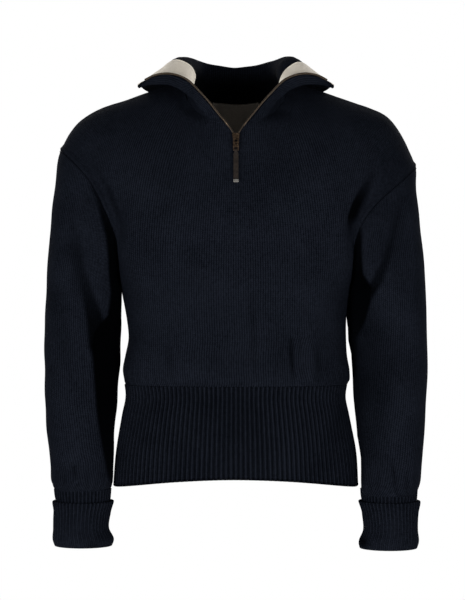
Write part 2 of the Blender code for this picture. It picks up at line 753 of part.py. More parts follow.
for hand, word in ((LEFT, "left"), (RIGHT, "right")):
    rings = sleeves[hand]
    steps = sleeve_steps[hand]
    steps[-1] = level(steps[-1])
    rings[-1, :, 2] += GAP / 2
    wall("sleeve_" + word, rings, rings + steps, True, WOOL)

collar_inner = collar + collar_step
wall("collar", collar, collar_inner, False, WOOL)


# Hem rib and cuffs

def ribs(line, out, height):
    """The line's points raised and sunk by turns."""
    turn = np.where(np.arange(len(line)) % 2 == 0, 0.5, -0.5)
    return line + out * (turn * height)[:, None]


def hem_rib(name, side, rise):
    """Half of the hem rib: raised ribs outside, plain inside."""
    top = RIB_SECTIONS[0][0]
    drop = top - RIB_SECTIONS[-1][0]
    depth_column = 2 if side == FRONT else 3
    outside = []
    inside = []
    for row in RIB_SECTIONS:
        line = half_section(row[1], row[depth_column], row[0], side, 2 * HEM_RIBS)
        along = unit(np.gradient(line, axis=0))
        out = np.cross(along, (0, 0, 1)) * -side
        out[0] = (LEFT, 0, 0)
        out[-1] = (RIGHT, 0, 0)
        lift = rise * ((top - row[0]) / drop) ** 2 * (1 - (line[:, 0] / row[1]) ** 2)
        line[:, 2] += lift
        line[:, 2] -= GAP / 2 if row is RIB_SECTIONS[0] else 0
        line[(0, -1), 1] = side * GAP / 2
        outside.append(ribs(line, out, HEM_RIB_HEIGHT))
        plain = (line - KNIT * out)[::2 * HEM_RIBS // HEM_INNER_COLUMNS]
        inside.append(plain)
    return ribbed_wall(name, outside + inside[::-1], False, WOOL)


hem_rib("hem_rib_front", FRONT, HEM_RISE_FRONT)
hem_rib("hem_rib_back", BACK, HEM_RISE_BACK)

for hand, word in ((LEFT, "left"), (RIGHT, "right")):
    section = []
    for number, (height, middle, half_width, half_depth, rib_height) in enumerate(CUFF_ROWS):
        ribbed = number < CUFF_RIBBED_ROWS
        count = 2 * CUFF_RIBS if ribbed else CUFF_INNER_COLUMNS
        turn = np.linspace(0, 2 * np.pi, count, endpoint=False)
        out = np.column_stack([np.cos(turn), np.sin(turn), np.zeros(count)])
        line = out * np.array([half_width, half_depth, 0])
        line += np.array([hand * middle, CUFF_DEPTH_MIDDLE, height])
        line[:, 2] -= GAP / 2 if number in (0, len(CUFF_ROWS) - 1) else 0
        section.append(ribs(line, out, rib_height) if ribbed else line)
    ribbed_wall("cuff_" + word, section, True, WOOL)


# Facings behind the zip, zip tapes and label

def patch_on(name, grid, out, thickness, finish):
    """A thin piece on the inner face of a wall."""
    near = grid - out * GAP
    return wall(name, near, near - out * thickness, False, finish)


def drawn_in(grid, end, side):
    """The grid with its first row and column moved in by a part of a step."""
    moved = grid.copy()
    moved[0] += end * (grid[1] - grid[0])
    moved[:, 0] += side * (moved[:, 1] - moved[:, 0])
    return moved


for word, columns in (("left", slice(0, FACING_COLUMNS + 1)), ("right", slice(-1, -FACING_COLUMNS - 2, -1))):
    grid = drawn_in(collar_inner[:, columns], FACING_FOOT, FACING_SIDE)
    out = drawn_in(collar_out[:, columns], FACING_FOOT, FACING_SIDE)
    patch_on("facing_" + word, grid, out, FACING, COTTON)

rows = slice(-LABEL_ROWS - 1, None)
columns = slice(MIDDLE - LABEL_COLUMNS, MIDDLE + LABEL_COLUMNS + 1)
label = back_inner[rows, columns][::-1]
patch_on("label", drawn_in(label, LABEL_TOP, 0.0), back_out[rows, columns][::-1], LABEL, WOVEN)


def tape(name, edge, inward, across_way):
    """A zip tape: a flat strip along the cut edge, from the slider to near the collar's tip."""
    run = unit(np.gradient(edge, axis=0))
    face = unit(inward)
    across = unit(np.cross(run, face))
    across *= np.sign(np.sum(across * across_way, axis=1, keepdims=True))
    near = edge + across * GAP
    far = edge + across * (GAP + TAPE_WIDTH)
    half = face * TAPE_THICKNESS / 2
    section = [near - half, far - half, far + half, near + half]
    return wall_loop(name, section, TAPE)


def wall_loop(name, section, finish):
    """A solid strip from the lines along its corners."""
    count = len(section[0])
    sides = len(section)
    points = np.concatenate(section)
    faces = []
    for side in range(sides):
        for k in range(count - 1):
            first = side * count + k
            second = (side + 1) % sides * count + k
            faces.append([first, first + 1, second + 1, second])
    faces.append([side * count for side in range(sides)])
    faces.append([side * count + count - 1 for side in range(sides)])
    return make_object(name, points, faces, finish)


for word, hand, column, near_column in (("left", LEFT, 0, 1), ("right", RIGHT, -1, -2)):
    slit = (front_outer[-1, MIDDLE + int(hand)] - front_outer[-1, MIDDLE])
    start_part = (SLIDER_TOP - SLIT_END[2]) / slit[2]
    start = front_outer[-1, MIDDLE] + slit * start_part
    edge_outer = np.vstack([start, collar[:-1, column]])
    steps = np.vstack([front_step[-1, MIDDLE], collar_step[:-1, column]])
    away = collar[:-1, column] - collar[:-1, near_column]
    across_way = np.vstack([(-hand, 0, 0), away])
    tape("zip_tape_" + word, edge_outer + steps / 2, steps, across_way)


# Slider, pull, leather strip and ferrule

def rounded(corners, cut):
    """An outline through four corners, each rounded by three points."""
    points = []
    for k, corner in enumerate(corners):
        before = unit(corners[k - 1] - corner) * cut
        after = unit(corners[(k + 1) % len(corners)] - corner) * cut
        points.extend([corner + before, corner + (before + after) * 0.3, corner + after])
    return np.array(points)


def slab(name, half_top, half_foot, top, foot, depths, cut, edge, finish):
    """A flat solid with rounded corners and edges, between two depths in front of its frame."""
    near, far, taper = depths
    rings = []
    levels = ((edge, near, 0), (0, near + edge, 0), (0, far - edge, taper), (edge, far, taper))
    for inset, depth, lean in levels:
        high = top - inset
        low = foot + inset
        wide = half_top - inset
        narrow = half_foot - inset
        corners = [(-wide, high), (wide, high), (narrow, low), (-narrow, low)]
        outline = rounded(np.array(corners), cut)
        y = -depth + lean * (top - outline[:, 1]) / (top - foot)
        rings.append(np.column_stack([outline[:, 0], y, outline[:, 1]]))
    return stacked(name, rings, finish)


def stacked(name, rings, finish):
    """A solid through rings of points, with flat ends."""
    count = len(rings[0])
    faces = []
    for ring in range(len(rings) - 1):
        for k in range(count):
            first = ring * count + k
            after = ring * count + (k + 1) % count
            faces.append([first, after, after + count, first + count])
    faces.append(list(range(count)))
    faces.append(list(range((len(rings) - 1) * count, len(rings) * count)))
    return make_object(name, np.concatenate(rings), faces, finish)


def block(name, half_width, top, foot, near, far, finish):
    """A plain block between two heights and two depths in front of its frame."""
    corners = np.array([(-half_width, top), (half_width, top), (half_width, foot), (-half_width, foot)])
    rings = [np.column_stack([corners[:, 0], np.full(4, -depth), corners[:, 1]]) for depth in (near, far)]
    return stacked(name, rings, finish)


def combine(thing, tool, operation):
    """The tool joined to the thing or cut from it; the tool itself is hidden."""
    COLLECTION.objects.unlink(tool)
    CUTTERS.objects.link(tool)
    tool.hide_render = True
    tool.display_type = "WIRE"
    tool.parent = thing.parent
    change = thing.modifiers.new(tool.name, "BOOLEAN")
    change.operation = operation
    change.solver = "EXACT"
    change.object = tool


def frame(name, place, turn):
    """An empty that holds the pieces whose lengths run down from it."""
    empty = bpy.data.objects.new(name, None)
    empty.location = place
    empty.rotation_euler = (turn, 0, 0)
    COLLECTION.objects.link(empty)
    return empty


fall = unit(front[-2, MIDDLE] - front[-1, MIDDLE])
chest_turn = np.arctan2(fall[1], -fall[2])
chest_out = np.array([0, -np.cos(chest_turn), -np.sin(chest_turn)])
slider_place = front[-1, MIDDLE] + fall * (SLIDER_TOP - SLIT_END[2]) / fall[2]
hinge_place = slider_place + fall * HINGE_DROP + chest_out * HINGE_OUT
slider_frame = frame("slider_frame", slider_place, chest_turn)
pull_frame = frame("pull_hinge", hinge_place, chest_turn + np.radians(PULL_TILT))

bridge_piece = slab("bridge_piece", BRIDGE_WIDTH / 2, BRIDGE_WIDTH / 2, -BRIDGE_TOP, -BRIDGE_FOOT,
                    (BRIDGE_ROOT, BRIDGE_FRONT, 0.0), BRIDGE_WALL / 3, BRIDGE_WALL / 3, BRASS)
bridge_hole = block("bridge_hole", BRIDGE_WIDTH, -BRIDGE_TOP - BRIDGE_WALL, -BRIDGE_FOOT + BRIDGE_WALL,
                    BRIDGE_ROOT + BRIDGE_WALL, BRIDGE_FRONT - BRIDGE_WALL, BRASS)
slider = slab("zip_slider", SLIDER_WIDTH_TOP / 2, SLIDER_WIDTH_FOOT / 2, 0.0, -SLIDER_HEIGHT,
              (SLIDER_BACK, SLIDER_FRONT, SLIDER_TAPER), SLIDER_CORNER, SLIDER_EDGE, BRASS)
slider.parent = slider_frame
bridge_piece.parent = slider_frame
combine(bridge_piece, bridge_hole, "DIFFERENCE")
combine(slider, bridge_piece, "UNION")

bar = PULL_THICKNESS / 2
plate = slab("zip_pull", PULL_WIDTH / 2, PULL_WIDTH / 2, bar, bar - PULL_LENGTH,
             (-bar, bar, 0.0), PULL_CORNER, PULL_EDGE, BRASS)
plate.parent = pull_frame
slot = block("pull_slot", SLOT_WIDTH / 2, -bar, -bar - SLOT_HEIGHT, -PULL_THICKNESS, PULL_THICKNESS, BRASS)
window = block("pull_window", WINDOW_WIDTH / 2, -WINDOW_TOP, -WINDOW_FOOT,
               -PULL_THICKNESS, PULL_THICKNESS, BRASS)
turn = np.linspace(0, 2 * np.pi, HOLE_STEPS, endpoint=False)
circle = np.column_stack([np.cos(turn), np.zeros(HOLE_STEPS), np.sin(turn)]) * HOLE_RADIUS - (0, 0, HOLE_DROP)
hole = stacked("pull_hole", [circle - (0, PULL_THICKNESS, 0), circle + (0, PULL_THICKNESS, 0)], BRASS)
for tool in (slot, window, hole):
    combine(plate, tool, "DIFFERENCE")

plate_foot = bar - PULL_LENGTH
strap_top = plate_foot - LEATHER_CLEAR
strap_foot = strap_top - STRAP_LENGTH
strap = slab("pull_strap", STRAP_WIDTH / 2, STRAP_WIDTH / 2, strap_top, strap_foot,
             (-STRAP_THICKNESS / 2, STRAP_THICKNESS / 2, 0.0), STRAP_CORNER, STRAP_EDGE, LEATHER)
strap.parent = pull_frame
loop = slab("strap_loop", LOOP_WIDTH / 2, LOOP_WIDTH / 2, -LOOP_TOP, strap_top - LOOP_DEPTH / 2,
            (-LOOP_DEPTH / 2, LOOP_DEPTH / 2, 0.0), STRAP_EDGE, STRAP_EDGE, LEATHER)
loop_hole = block("loop_hole", LOOP_WIDTH, -WINDOW_FOOT + LEATHER_CLEAR, strap_top,
                  -bar - LEATHER_CLEAR, bar + LEATHER_CLEAR, LEATHER)
combine(strap, loop, "UNION")
combine(strap, loop_hole, "DIFFERENCE")
tip_top = strap_foot - GAP
tip = slab("pull_tip", TIP_WIDTH / 2, TIP_WIDTH / 2, tip_top, tip_top - TIP_HEIGHT,
           (-TIP_THICKNESS / 2, TIP_THICKNESS / 2, 0.0), STRAP_CORNER, STRAP_EDGE, STEEL)
tip.parent = pull_frame
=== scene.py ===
"""Looks of the fisherman sweater: knitted cloth, ribs, welts, zip, pull and label.

The cloth's points come from the same tables as its solids, in metres in the same frame,
then each grid is refined and takes its small folds, ribs and sewing.
"""

import bpy
import numpy as np
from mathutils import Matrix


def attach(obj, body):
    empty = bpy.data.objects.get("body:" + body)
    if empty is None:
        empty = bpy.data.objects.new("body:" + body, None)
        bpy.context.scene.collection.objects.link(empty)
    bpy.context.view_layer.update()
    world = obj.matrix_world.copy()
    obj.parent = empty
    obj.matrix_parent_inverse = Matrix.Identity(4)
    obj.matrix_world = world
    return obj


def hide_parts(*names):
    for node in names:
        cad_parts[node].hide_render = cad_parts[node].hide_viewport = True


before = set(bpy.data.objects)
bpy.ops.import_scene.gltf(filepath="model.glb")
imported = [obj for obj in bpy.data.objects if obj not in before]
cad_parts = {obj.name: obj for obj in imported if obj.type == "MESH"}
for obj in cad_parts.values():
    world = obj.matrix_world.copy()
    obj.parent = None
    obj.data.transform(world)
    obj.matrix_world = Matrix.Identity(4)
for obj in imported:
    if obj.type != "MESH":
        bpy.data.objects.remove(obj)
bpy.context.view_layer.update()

LEFT = -1.0
RIGHT = 1.0
FRONT = -1.0
BACK = 1.0
HANDS = ((LEFT, "left"), (RIGHT, "right"))

# Tables of places are in millimetres, in the frame; single lengths are in metres
MM = 0.001

# Column at the left and at the right edge of a grid
EDGE = {LEFT: 0, RIGHT: -1}

# Cloth and seams: gap between pieces, wall, least slant of a seam, squareness of the torso's
# section, and how many points draw that section and a smooth line's each part
GAP = 0.0003
KNIT = 0.003
MITRE_LIMIT = 0.55
SQUARENESS = 2.3
SECTION_POINTS = 721
LINE_POINTS = 40

# Grid sizes of the body: columns across a panel, rows above the underarm
COLUMNS = 24
MIDDLE = COLUMNS // 2
UPPER_ROWS = 12
SHOULDER_COLUMNS = 6
NECK_FRONT_COLUMNS = 5
NECK_BACK_COLUMNS = 6

# Body from the rib's seam to the underarm: height, half width, depth in front, depth behind,
# and how far its middle lies to the right
BODY_SECTIONS = MM * np.array((
    (-433.5, 166, 101, 99, 0.5),
    (-425, 168.5, 107.5, 105, 1.5),
    (-410, 169.5, 111, 108, 0.5),
    (-390, 166, 110, 107.5, 0.5),
    (-365, 163.2, 109, 107, 2.2),
    (-340, 164.2, 110.2, 108.2, 1.2),
    (-316, 167.2, 111.8, 109.8, 0.4),
    (-292, 171.5, 113.6, 111.6, 0),
))

# Hem rib from its seam to the hem: height, half width, depth in front, depth behind
RIB_SECTIONS = MM * np.array((
    (-433.5, 165.5, 100.5, 98.5),
    (-449, 163.5, 98.5, 96.5),
    (-478, 169, 100.5, 98),
    (-525, 176.8, 104.8, 101.5),
    (-584, 182, 107.5, 104.5),
))
HEM_RIBS = 66
HEM_RISE_FRONT = 0.017
HEM_RISE_BACK = 0.008

# Shoulder seam from the sleeve to the neck: distance from the middle, depth, height
SHOULDER_START = {
    LEFT: ((264, 0, -84), (249, 1, -57)),
    RIGHT: ((271, 0, -109), (254, 1, -70)),
}
SHOULDER_LINE = (
    (230, 1, -35),
    (200, 2, -18.5),
    (165, 3, -7),
    (120, 4, 8.5),
    (75, 5, 21),
)

# Neckline from the neck point forward to the slit, and back to the middle: same columns
NECKLINE_FRONT = MM * np.array((
    (75, 5, 21),
    (76.5, -22, 2),
    (67, -50, -20.5),
    (43, -76, -42),
    (16, -88, -51),
))
SLIT_END = (0.0, -0.0955, -0.0720)
NECKLINE_BACK = MM * np.array((
    (75, 5, 21),
    (68, 34, 9),
    (43, 57, -1.5),
    (0, 66, -5),
))

# Armhole from the underarm to the shoulder: distance from the middle, depth, height
ARMHOLE = {
    LEFT: MM * np.array((
        (171.5, 0, -292),
        (171.4, 30, -275),
        (172.5, 50, -247),
        (176.5, 61, -217),
        (185, 65, -192.5),
        (197, 67, -166),
        (213, 64, -136),
        (237, 51, -108),
        (257.5, 28, -89),
        (264, 0, -84),
    )),
    RIGHT: MM * np.array((
        (171.5, 0, -292),
        (171.4, 30, -276),
        (172.2, 50, -250),
        (175, 62, -223),
        (182.5, 67, -200.5),
        (197, 69, -178),
        (217, 65, -157),
        (243, 52, -134.5),
        (264.5, 28, -115),
        (271, 0, -109),
    )),
}

# How far the chest and the back stand out between underarm and shoulder, by column from the armhole
SWELL_FRONT = (0, 8, 18, 27, 33, 34, 32, 26, 20, 15, 10, 7, 6)
SWELL_BACK = (0, 10, 20, 29, 34, 36, 34, 31, 28, 26, 25, 24, 24)

# How fast that grows from the underarm and fades at the shoulder, and its turn upward there
SWELL_START = 1.15
SWELL_END = 0.95
SWELL_TURN = 1.2

# How far into a panel its armhole's shape reaches, and how the corners of its top edge are worn down
EDGE_REACH = 0.42
TOP_SOFTENING = 6
TOP_FADE = 5
SOFT_REACH = 5

# Sleeve rings: distance of the outer edge and its height, the same of the inner edge,
# half depth, depth of the middle, and how much of the armhole's own shape the ring keeps
SLEEVE_RINGS = np.array((
    (270.5, -125, 173.8, -300, 69, 0, 0.85),
    (275.5, -175, 173.2, -312, 69, -1, 0.55),
    (280, -225, 172.5, -327, 67, -2, 0.28),
    (283, -275, 171.8, -346, 64.5, -4, 0.1),
    (285, -325, 171.8, -371, 62, -6, 0.0),
    (286, -375, 172.7, -402, 60, -8, 0.0),
    (285.5, -425, 174.8, -439, 58, -11, 0.0),
    (283.5, -472, 178.2, -479, 55, -14, 0.0),
    (280, -517, 180.8, -520, 52, -17, 0.0),
    (276.5, -553, 182.8, -554, 50, -19, 0.0),
    (274.5, -574, 183.8, -574.5, 48, -21, 0.0),
    (269, -588, 187, -588, 43, -22, 0.0),
)) * (MM, MM, MM, MM, MM, MM, 1)

# Squareness of a sleeve's section, half depth of the plain oval that the armhole is compared with,
# height of the lower shoulder tip, and how the armhole's seam leans out and faces down
SLEEVE_SQUARENESS = 2.15
PLAIN_HALF_DEPTH = 0.066
TIP_LEVEL = -0.084
SEAM_LEAN = 0.5
SEAM_FALL = 0.3

# Cuff, round its section from the sleeve's seam down the outside, under the fold and up the inside:
# height, distance of the middle, half width, half depth, and the height of its ribs
CUFF_ROWS = MM * np.array((
    (-588, 228, 42, 42, 1.4),
    (-604, 228, 40.5, 40.5, 1.4),
    (-613, 228, 38.5, 38.5, 1),
    (-608, 228, 40.3, 40.3, 1),
    (-606, 228, 43.5, 43, 1.4),
    (-625, 229.6, 42, 41.6, 1.4),
    (-652, 230.4, 41.1, 40.9, 1.4),
    (-672, 227.2, 45, 43.7, 1.2),
    (-680, 227, 42.5, 41, 0.8),
    (-675, 227, 38.5, 37, 0),
    (-640, 230, 36, 36, 0),
    (-588, 228, 38.5, 38.5, 0),
))
CUFF_RIBBED_ROWS = 9
CUFF_RIBS = 46
CUFF_DEPTH_MIDDLE = -0.022

# Collar, by column from the zip edge to the middle of the back: column, then distance from the
# middle, depth and height of the low stand, high stand, crest of the roll, fall and free edge
COLLAR_HALF = 2 * (NECK_FRONT_COLUMNS + NECK_BACK_COLUMNS)
COLLAR_ROWS = 12
COLLAR_LINES = (
    (0, (53, -89, -7), (74, -80, 13.5), (100, -69, 22.5),
     (126, -54, 19), (144, -42, 8.5)),
    (2, (66, -77, -13), (84, -69, 2), (104, -58, 9),
     (127, -46, 10), (144, -35, 7)),
    (5, (68, -36, 8), (73, -33, 25), (91, -30, 34),
     (118, -22, 24), (143, -15, 9.5)),
    (8, (64, -12, 26), (69, -12, 42), (84, -10, 50),
     (111, -5, 35), (141, 2, 12)),
    (12, (64, 22, 30), (67, 23, 47), (77, 26, 57.5),
     (102, 36, 40), (132, 47, 10)),
    (17, (45, 59, 20), (47, 61, 44), (53, 67, 56.5),
     (68, 80, 36), (81, 86, -8)),
    (22, (0, 68, 16), (0, 70, 37), (0, 77, 47.5),
     (0, 88, 28), (0, 96, -22)),
)

# Facings, tapes and label
FACING = 0.0012
FACING_COLUMNS = 8
FACING_FOOT = 0.35
TAPE_WIDTH = 0.0024
TAPE_THICKNESS = 0.0014
LABEL = 0.0008
LABEL_COLUMNS = 2
LABEL_ROWS = 3

# Slider's top edge, pull and leather strip
SLIDER_TOP = -0.0655
HINGE_DROP = 0.0084
HINGE_OUT = 0.0050
PULL_TILT = 2.4
PULL_LENGTH = 0.0190
PULL_THICKNESS = 0.0013
WINDOW_FOOT = 0.0167
LEATHER_CLEAR = 0.00035
LOOP_WIDTH = 0.0043
LOOP_TOP = 0.0150
LOOP_DEPTH = 0.0036
STRAP_WIDTH = 0.0074
STRAP_THICKNESS = 0.0026
STRAP_LENGTH = 0.0410

# Large soft folds: side, distance from the middle and height at the top, the same at the foot,
# half width, and how far the cloth stands out there (in, where negative)
FOLDS = np.array((
    (FRONT, 23, -300, 34.5, -420, 18, -4),
    (FRONT, 87, -345, 85.5, -424, 14, -5),
    (FRONT, 108, -350, 106, -424, 14, 3),
    (FRONT, -72, -360, -69, -424, 18, 3),
    (FRONT, -120, -345, -114, -424, 15, -3),
    (FRONT, 138, -335, 134, -424, 15, -3),
    (FRONT, -200, -135, -172, -200, 14, -6),
    (FRONT, 200, -150, 178, -205, 14, -8),
    (BACK, -30, -310, -38, -420, 18, -4),
    (BACK, 65, -335, 60, -424, 16, -4.5),
    (BACK, -100, -340, -95, -424, 16, 3.5),
    (BACK, 124, -340, 118, -424, 15, -3),
    (BACK, -198, -135, -175, -205, 14, -6),
    (BACK, 198, -150, 178, -205, 14, -6),
)) * (1, MM, MM, MM, MM, MM, MM)
FOLD_FADE = 0.02
FOLD_TOP_FADE = 0.03

# Large soft folds of a sleeve's front and back: first ring and last ring, place round the ring
# at both (0 at the inner edge, 1 at the outer edge), half width, and rise
SLEEVE_FOLDS = {
    LEFT: (
        (FRONT, 1, 6, 0.72, 0.30, 0.16, -0.0060),
        (FRONT, 3, 9, 0.30, 0.12, 0.14, -0.0050),
        (FRONT, 9, 12, 0.50, 0.52, 0.08, -0.0030),
        (BACK, 2, 7, 0.66, 0.34, 0.16, -0.0060),
        (BACK, 9, 12, 0.44, 0.42, 0.10, -0.0035),
    ),
    RIGHT: (
        (FRONT, 1, 7, 0.74, 0.34, 0.16, -0.0060),
        (FRONT, 3, 8, 0.26, 0.14, 0.14, -0.0045),
        (FRONT, 9, 12, 0.56, 0.54, 0.08, -0.0030),
        (BACK, 2, 6, 0.60, 0.30, 0.16, -0.0060),
        (BACK, 9, 12, 0.50, 0.46, 0.10, -0.0035),
    ),
}


# Curves and grids

def unit(vectors):
    """The vectors at length one."""
    return vectors / np.linalg.norm(vectors, axis=-1, keepdims=True)


def clipped(share):
    """The share kept from 0 to 1."""
    return np.clip(share, 0, 1)


def eased(share):
    """The share with a soft start and end."""
    return share**2 * (3 - 2 * share)


def bell(distance, width):
    """A smooth hump: 1 at no distance, about a third at its width."""
    return np.exp(-((distance / width) ** 2))


def curve_through(keys, rows, at):
    """Smooth values between a table's rows, with slopes taken from their neighbours."""
    keys = np.asarray(keys, float)
    rows = np.asarray(rows, float).reshape(len(keys), -1)
    at = np.asarray(at, float)
    slopes = np.gradient(rows, keys, axis=0)
    cell = np.clip(np.searchsorted(keys, at, side="right") - 1, 0, len(keys) - 2)
    width = (keys[cell + 1] - keys[cell])[:, None]
    part = (at - keys[cell])[:, None] / width
    rest = 1 - part
    start = (1 + 2 * part) * rest**2 * rows[cell]
    end = eased(part) * rows[cell + 1]
    bend = part * rest * width * (rest * slopes[cell] - part * slopes[cell + 1])
    return start + end + bend


def lengths_along(points):
    """Distance of each point from the first, along the line."""
    steps = np.linalg.norm(np.diff(points, axis=0), axis=1)
    return np.concatenate([[0.0], np.cumsum(steps)])


def even_steps(points, count):
    """The same line with equal steps."""
    run = lengths_along(points)
    places = np.linspace(0, run[-1], count + 1)
    return np.column_stack([np.interp(places, run, points[:, k]) for k in range(points.shape[1])])


def smooth_line(controls, count):
    """A smooth line through the control points, cut into equal steps."""
    controls = np.asarray(controls, float)
    run = lengths_along(controls)
    dense = curve_through(run, controls, np.linspace(0, run[-1], LINE_POINTS * len(controls)))
    line = even_steps(dense, count)
    line[0] = controls[0]
    line[-1] = controls[-1]
    return line


def half_section(half_width, depth, height, side, count):
    """Half of a torso section in equal steps, from the left side seam to the right one."""
    turn = np.linspace(np.pi, 0, SECTION_POINTS)
    x = half_width * np.sign(np.cos(turn)) * np.abs(np.cos(turn)) ** (2 / SQUARENESS)
    y = side * depth * clipped(np.sin(turn)) ** (2 / SQUARENESS)
    return even_steps(np.column_stack([x, y, np.full_like(x, height)]), count)


def softened(line, times):
    """The line with its corners worn down, its ends kept."""
    line = line.copy()
    for _ in range(times):
        line[1:-1] = (line[:-2] + 2 * line[1:-1] + line[2:]) / 4
    return line


def grid_normals(grid, closed):
    """Unit normals of a grid of points, across and then up."""
    if closed:
        across = np.roll(grid, -1, axis=1) - np.roll(grid, 1, axis=1)
    else:
        across = np.gradient(grid, axis=1)
    return unit(np.cross(across, np.gradient(grid, axis=0)))


def mitre(first, second, lean):
    """Steps from the outer to the inner face at a seam between two walls."""
    way = unit(first + second + lean)
    reach = np.maximum(np.abs(np.sum(way * first, axis=-1, keepdims=True)), MITRE_LIMIT)
    return -KNIT * way / reach


def parting(points, steps, toward):
    """Half a gap's shift off a seam, square to its faces, on the side that is given."""
    shift = unit(np.cross(np.gradient(points, axis=0), steps))
    side = np.sign(shift @ np.asarray(toward, float))
    return shift * side[:, None] * GAP / 2


# Body: outer faces of front and back

def fold_push(side, grid):
    """How far the large folds move each point of a panel outward."""
    push = np.zeros(grid.shape[:2])
    for fold_side, x_top, z_top, x_foot, z_foot, half, rise in FOLDS:
        if fold_side != side:
            continue
        along = clipped((z_top - grid[..., 2]) / (z_top - z_foot))
        near = grid[..., 0] - (x_top + (x_foot - x_top) * along)
        fade = clipped((z_top + FOLD_TOP_FADE - grid[..., 2]) / (2 * FOLD_TOP_FADE))
        below = clipped((grid[..., 2] - z_foot + FOLD_FADE) / FOLD_FADE)
        push += rise * bell(near, half) * fade * below
    return push


def body_panel(side):
    """Outer points of the front or the back, from the rib's seam up to shoulder and neck."""
    depth_column = 2 if side == FRONT else 3
    lower = []
    for row in BODY_SECTIONS:
        line = half_section(row[1], row[depth_column], row[0], side, COLUMNS)
        lower.append(line + (row[-1], 0, 0))
    edges = {}
    tops = {}
    for hand in (LEFT, RIGHT):
        scale = np.array([hand, side, 1.0])
        edges[hand] = smooth_line(ARMHOLE[hand], UPPER_ROWS) * scale
        shoulder = MM * np.array(SHOULDER_START[hand] + SHOULDER_LINE)
        if side == FRONT:
            neck = smooth_line(NECKLINE_FRONT, NECK_FRONT_COLUMNS)
            neck = np.vstack([neck, SLIT_END])
        else:
            neck = smooth_line(NECKLINE_BACK, NECK_BACK_COLUMNS)
        tops[hand] = np.vstack([shoulder, neck[1:]]) * np.array([hand, 1.0, 1.0])
    top = np.vstack([tops[LEFT], tops[RIGHT][-2::-1]])
    bottom = lower[-1]
    across = np.linspace(0, 1, COLUMNS + 1)[None, :, None]
    up = np.linspace(0, 1, UPPER_ROWS + 1)[:, None, None]
    beside = np.abs(np.abs(np.arange(COLUMNS + 1) - MIDDLE) - (MIDDLE - SHOULDER_COLUMNS))
    near_neck = clipped((SOFT_REACH - beside) / 2)[:, None]
    soft = top + near_neck * (softened(top, TOP_SOFTENING) - top)
    patch = (1 - up) * bottom[None] + up * soft[None] + up**TOP_FADE * (top - soft)[None]
    bends = {LEFT: edges[LEFT] - patch[:, 0], RIGHT: edges[RIGHT] - patch[:, -1]}
    for hand, from_edge in ((LEFT, across), (RIGHT, 1 - across)):
        patch = patch + clipped(1 - from_edge / EDGE_REACH) ** 2 * bends[hand][:, None]
    half = MM * np.array(SWELL_FRONT if side == FRONT else SWELL_BACK)
    most = SWELL_START / (SWELL_START + SWELL_END)
    shape = (up / most) ** SWELL_START * ((1 - up) / (1 - most)) ** SWELL_END
    swell = np.concatenate([half, half[-2::-1]])[None, :] * shape[..., 0]
    lean = SWELL_TURN * up[..., 0] ** 2
    patch[..., 1] += side * swell * np.cos(lean)
    patch[..., 2] += swell * np.sin(lean)
    grid = np.concatenate([np.array(lower), patch[1:]])
    push = fold_push(side, grid)
    push[:, (0, -1)] = 0
    push[(0, -1), :] = 0
    return grid + grid_normals(grid, False) * -side * push[..., None]


LOWER = len(BODY_SECTIONS) - 1
front = body_panel(FRONT)
back = body_panel(BACK)
front_out = grid_normals(front, False)
back_out = -grid_normals(back, False)


# Sleeves: outer faces

def armhole_loop(hand):
    """The armhole's points from the underarm up the front and down the back."""
    column = EDGE[hand]
    return np.concatenate([front[LOWER:, column], back[LOWER:, column][-2:0:-1]])


def oval(hand, outer, inner, half_depth, middle):
    """A sleeve ring between its inner and outer edge, in the loop's order."""
    turn = np.linspace(0, 2 * np.pi, 2 * UPPER_ROWS, endpoint=False)
    centre = (np.array(outer) + np.array(inner)) / 2
    arm = (np.array(outer) - np.array(inner)) / 2
    power = 2 / SLEEVE_SQUARENESS
    reach = -np.sign(np.cos(turn)) * np.abs(np.cos(turn)) ** power
    deep = -np.sign(np.sin(turn)) * np.abs(np.sin(turn)) ** power
    x = hand * (centre[0] + arm[0] * reach)
    z = centre[1] + arm[1] * reach
    return np.column_stack([x, middle + half_depth * deep, z])


def sleeve_rings(hand):
    """Outer points of a sleeve, ring by ring from the armhole to the cuff."""
    loop = armhole_loop(hand)
    tip = ARMHOLE[hand][-1]
    pit = ARMHOLE[hand][0]
    plain = oval(hand, (tip[0], tip[2]), (pit[0], pit[2]), PLAIN_HALF_DEPTH, 0.0)
    rings = [loop]
    for outer_x, outer_z, inner_x, inner_z, half_depth, middle, keep in SLEEVE_RINGS:
        lower_tip = (tip[2] - TIP_LEVEL) * keep
        ring = oval(hand, (outer_x, outer_z + lower_tip), (inner_x, inner_z), half_depth, middle)
        rings.append(ring + keep * (loop - plain))
    rings = np.array(rings)
    place = np.linspace(0, 2, 2 * UPPER_ROWS, endpoint=False)
    place = np.where(place > 1, 2 - place, place)
    facing = np.where(np.arange(2 * UPPER_ROWS) <= UPPER_ROWS, FRONT, BACK)
    push = np.zeros(rings.shape[:2])
    for side, first, last, near_first, near_last, half, rise in SLEEVE_FOLDS[hand]:
        for row in range(first, last):
            part = (row - first + 0.5) / (last - first)
            near = place - (near_first + (near_last - near_first) * part)
            push[row] += rise * np.sin(np.pi * part) ** 0.5 * bell(near, half) * (facing == side)
    push[0] = 0
    return rings + sleeve_normals(rings, hand) * push[..., None]


def sleeve_normals(rings, hand):
    """Outward normals of a sleeve's rings."""
    return grid_normals(rings, True) * -hand


# Collar: outer face

NECK_END = COLUMNS - SHOULDER_COLUMNS
NECK_LEFT = slice(SHOULDER_COLUMNS, MIDDLE)
NECK_RIGHT = slice(MIDDLE + 1, NECK_END + 1)
NECK_BEHIND = slice(SHOULDER_COLUMNS, NECK_END + 1)


